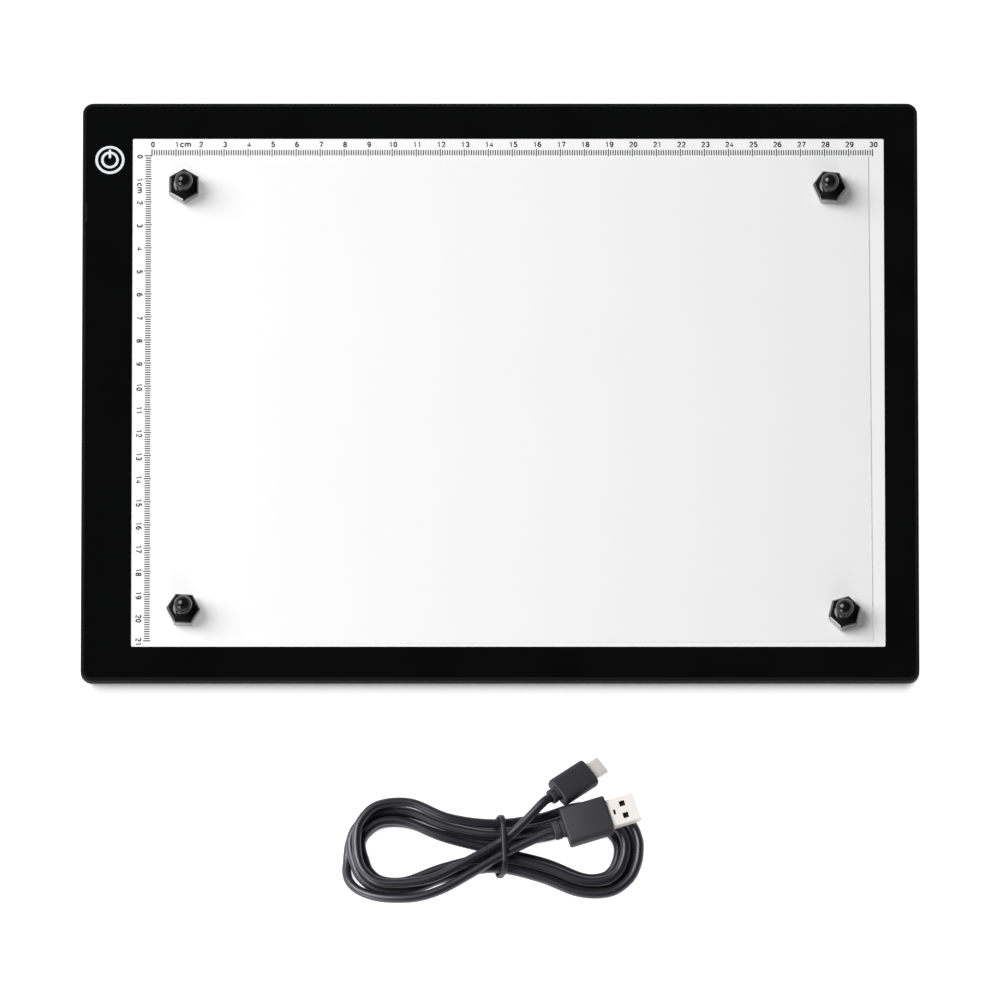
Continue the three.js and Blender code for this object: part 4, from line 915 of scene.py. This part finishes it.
def makeFigures(p):
    # numbers at each centimetre, upright along the top and turned a quarter to the right down the side;
    # each stroke is closed by a face at its first and at its last point
    drawn = drawCharacters()
    points, faces, count = [], [], 0
    for turned, last in ((False, p["acrossTo"]), (True, p["downTo"])):
        placed = list(p["letters"])
        for n in range(last // p["centimetre"] + 1):
            first = p["centimetre"] * n + p["figureShift"] - (len(str(n)) - 1) / 2 * p["figurePitch"]
            placed += [(digit, first + i * p["figurePitch"]) for i, digit in enumerate(str(n))]
        for character, at in placed:
            for path in drawn[character]:
                u, v = (path - [0, 0.5]).T * p["figureHeight"]
                if turned:
                    path = np.stack([p["figureX"] + v, p["zeroY"] - at - u], axis=-1)
                else:
                    path = np.stack([p["zeroX"] + at + u, p["figureY"] + v], axis=-1)
                stroke = penStroke(path, p)
                points.append(stroke.reshape(-1, 3))
                faces += (gridFaces(len(stroke), 4, True) + count).tolist()
                faces.append([count + 3, count + 2, count + 1, count])
                count += 4 * len(stroke)
                faces.append([count - 4, count - 3, count - 2, count - 1])
    return makeMesh("rulerFigures", np.concatenate(points) * mm, faces, smooth=False)


place(makeTicks(ruler), "pad", "black_film", finishes["ink"])
place(makeFigures(ruler), "pad", "black_film", finishes["ink"])

# The power mark on the border: two rings and a bar
mark = {
    "centre": (-162.4, 100.3), "top": 5.65, "thick": 0.03, "rings": ((6.08, 1.08), (3.66, 1.02)),
    "barWidth": 1.0, "barFrom": 0.7, "barTo": 4.5, "ringLevels": (0.3, 1.3), "barLevels": (0.4, 1.5),
    "steps": 96, "perQuarter": 9, "shortOfRound": 0.001,
}


def makeMark(p):
    # each ring is a small rectangle turned about the mark's middle; the bar is a stadium with two levels
    angle = np.linspace(0, 2 * np.pi, p["steps"], endpoint=False)[:, None]
    middleX, middleY = p["centre"]
    points, faces, count = [], [], 0
    for outer, width in p["rings"]:
        radius = np.array([outer - width, outer, outer, outer - width])
        level = p["top"] + p["thick"] * np.repeat(p["ringLevels"], 2) + 0 * angle
        ring = [middleX + radius * np.cos(angle), middleY + radius * np.sin(angle), level]
        points.append(np.stack(ring, axis=-1).reshape(-1, 3))
        faces += (gridFaces(p["steps"], 4, True, closedAlong=True) + count)[:, ::-1].tolist()
        count += len(points[-1])
    radius = p["barWidth"] / 2 - p["shortOfRound"]
    u, v = roundedRing(p["barWidth"], p["barTo"] - p["barFrom"], radius, p["perQuarter"])
    u, v = u[0] + middleX, v[0] + middleY + (p["barFrom"] + p["barTo"]) / 2
    levels = p["top"] + p["thick"] * np.array(p["barLevels"])
    bar = np.stack([np.stack([u, v, level + 0 * u], axis=-1) for level in levels])
    points.append(bar.reshape(-1, 3))
    columns = np.arange(len(u))
    faces += (gridFaces(2, len(u), True) + count).tolist()
    faces.append((columns[::-1] + count).tolist())
    faces.append((columns + len(u) + count).tolist())
    return makeMesh("powerMark", np.concatenate(points) * mm, faces, smooth=False)


place(makeMark(mark), "pad", "black_film", finishes["silverInk"])
print("rulers and power mark printed")

# Floor and soft studio light, in metres
studio = {
    "floorHalf": 30.0, "floorRough": 0.95, "floorIOR": 1.2, "litPaper": 0.3, "glow": 1.05,
    "shadedPaper": 0.93, "shadedGlow": 0.12,
    "shadeFront": (-0.172, -0.1405), "shadeRear": (0.124, 0.13), "shadeSide": (0.167, 0.1745),
    "slitReach": 0.005, "slitSamples": 8, "slitOpens": (0.2, 0.55),
    "key": {"from": (-0.84, 0.28, 1.0), "strength": 3.5, "angle": 42},
    "fill": {"from": (0.15, -1.0, 0.8), "strength": 0.4, "angle": 30},
    "edge": {"from": (-0.72, -0.66, 0.24), "strength": 1.1, "angle": 30},
    "horizon": 0.9, "overhead": 0.008, "horizonEnds": 0.08, "overheadFrom": 0.42,
}


def floorFinish(p):
    # white paper that glows evenly, as on a light table, except under the pad and just in front of it,
    # where lamps alone light it, and deep in the slits between the strands of the hank, where ambient
    # occlusion takes the glow away as a painted shade
    constants = {"Roughness": p["floorRough"], "IOR": p["floorIOR"], "Emission Strength": 1.0}
    f = Finish("floorPaper", constants)
    shaded = f.ramp(f.axis("Y"), *p["shadeFront"]) * (1 - f.ramp(f.axis("Y"), *p["shadeRear"]))
    shaded = shaded * (1 - f.ramp(abs(f.axis("X")), *p["shadeSide"]))
    samples, distance = {"samples": p["slitSamples"]}, {"Distance": p["slitReach"]}
    # painted shade: ambient occlusion takes the floor's glow away deep in the slits between the strands
    openness = f.add("ShaderNodeAmbientOcclusion", samples, distance, "AO")
    shaded = 1 - (1 - shaded) * f.ramp(openness, *p["slitOpens"])
    f.feed("Base Color", f.between(shaded, grey(p["litPaper"]), grey(p["shadedPaper"])))
    f.feed("Emission Color", f.between(shaded, grey(p["glow"]), grey(p["shadedGlow"])))
    return f.material


def makeFloor(p):
    half = p["floorHalf"]
    points = np.array([(-half, -half, 0), (half, -half, 0), (half, half, 0), (-half, half, 0)])
    floor = makeMesh("floor", points, [[0, 1, 2, 3]], smooth=False)
    floor.data.materials.append(floorFinish(p))


def makeSun(name, p):
    data = bpy.data.lights.new(name, "SUN")
    data.energy = p["strength"]
    data.angle = math.radians(p["angle"])
    sun = bpy.data.objects.new(name, data)
    sun.rotation_euler = Vector(p["from"]).to_track_quat("Z", "Y").to_euler()
    bpy.context.collection.objects.link(sun)
    return sun


def makeSky(p):
    # bright near the horizon like a studio's walls and dark overhead, so that glossy black stays black
    # when it is seen from above
    sky = bpy.data.worlds.new("studio")
    nodes = Nodes(sky, "Background", {"Color": (1, 1, 1, 1)})
    direction = nodes.add("ShaderNodeTexCoord", out="Generated")
    height = nodes.add("ShaderNodeSeparateXYZ", sockets={"Vector": direction}, out="Z")
    sockets = {"Value": height, "From Min": p["horizonEnds"], "From Max": p["overheadFrom"],
               "To Min": p["horizon"], "To Max": p["overhead"]}
    nodes.feed("Strength", nodes.add("ShaderNodeMapRange", {"interpolation_type": "SMOOTHSTEP"}, sockets))
    bpy.context.scene.world = sky


makeFloor(studio)
makeSky(studio)
makeSun("keyLight", studio["key"])
fill = makeSun("fillLight", studio["fill"])
fill.visible_glossy = False  # it brightens what it falls on, and shows in no gloss
edge = makeSun("edgeLight", studio["edge"])
edge.visible_diffuse = False  # it shows as gloss alone
bpy.context.scene.view_settings.view_transform = "Standard"
print("studio lit")
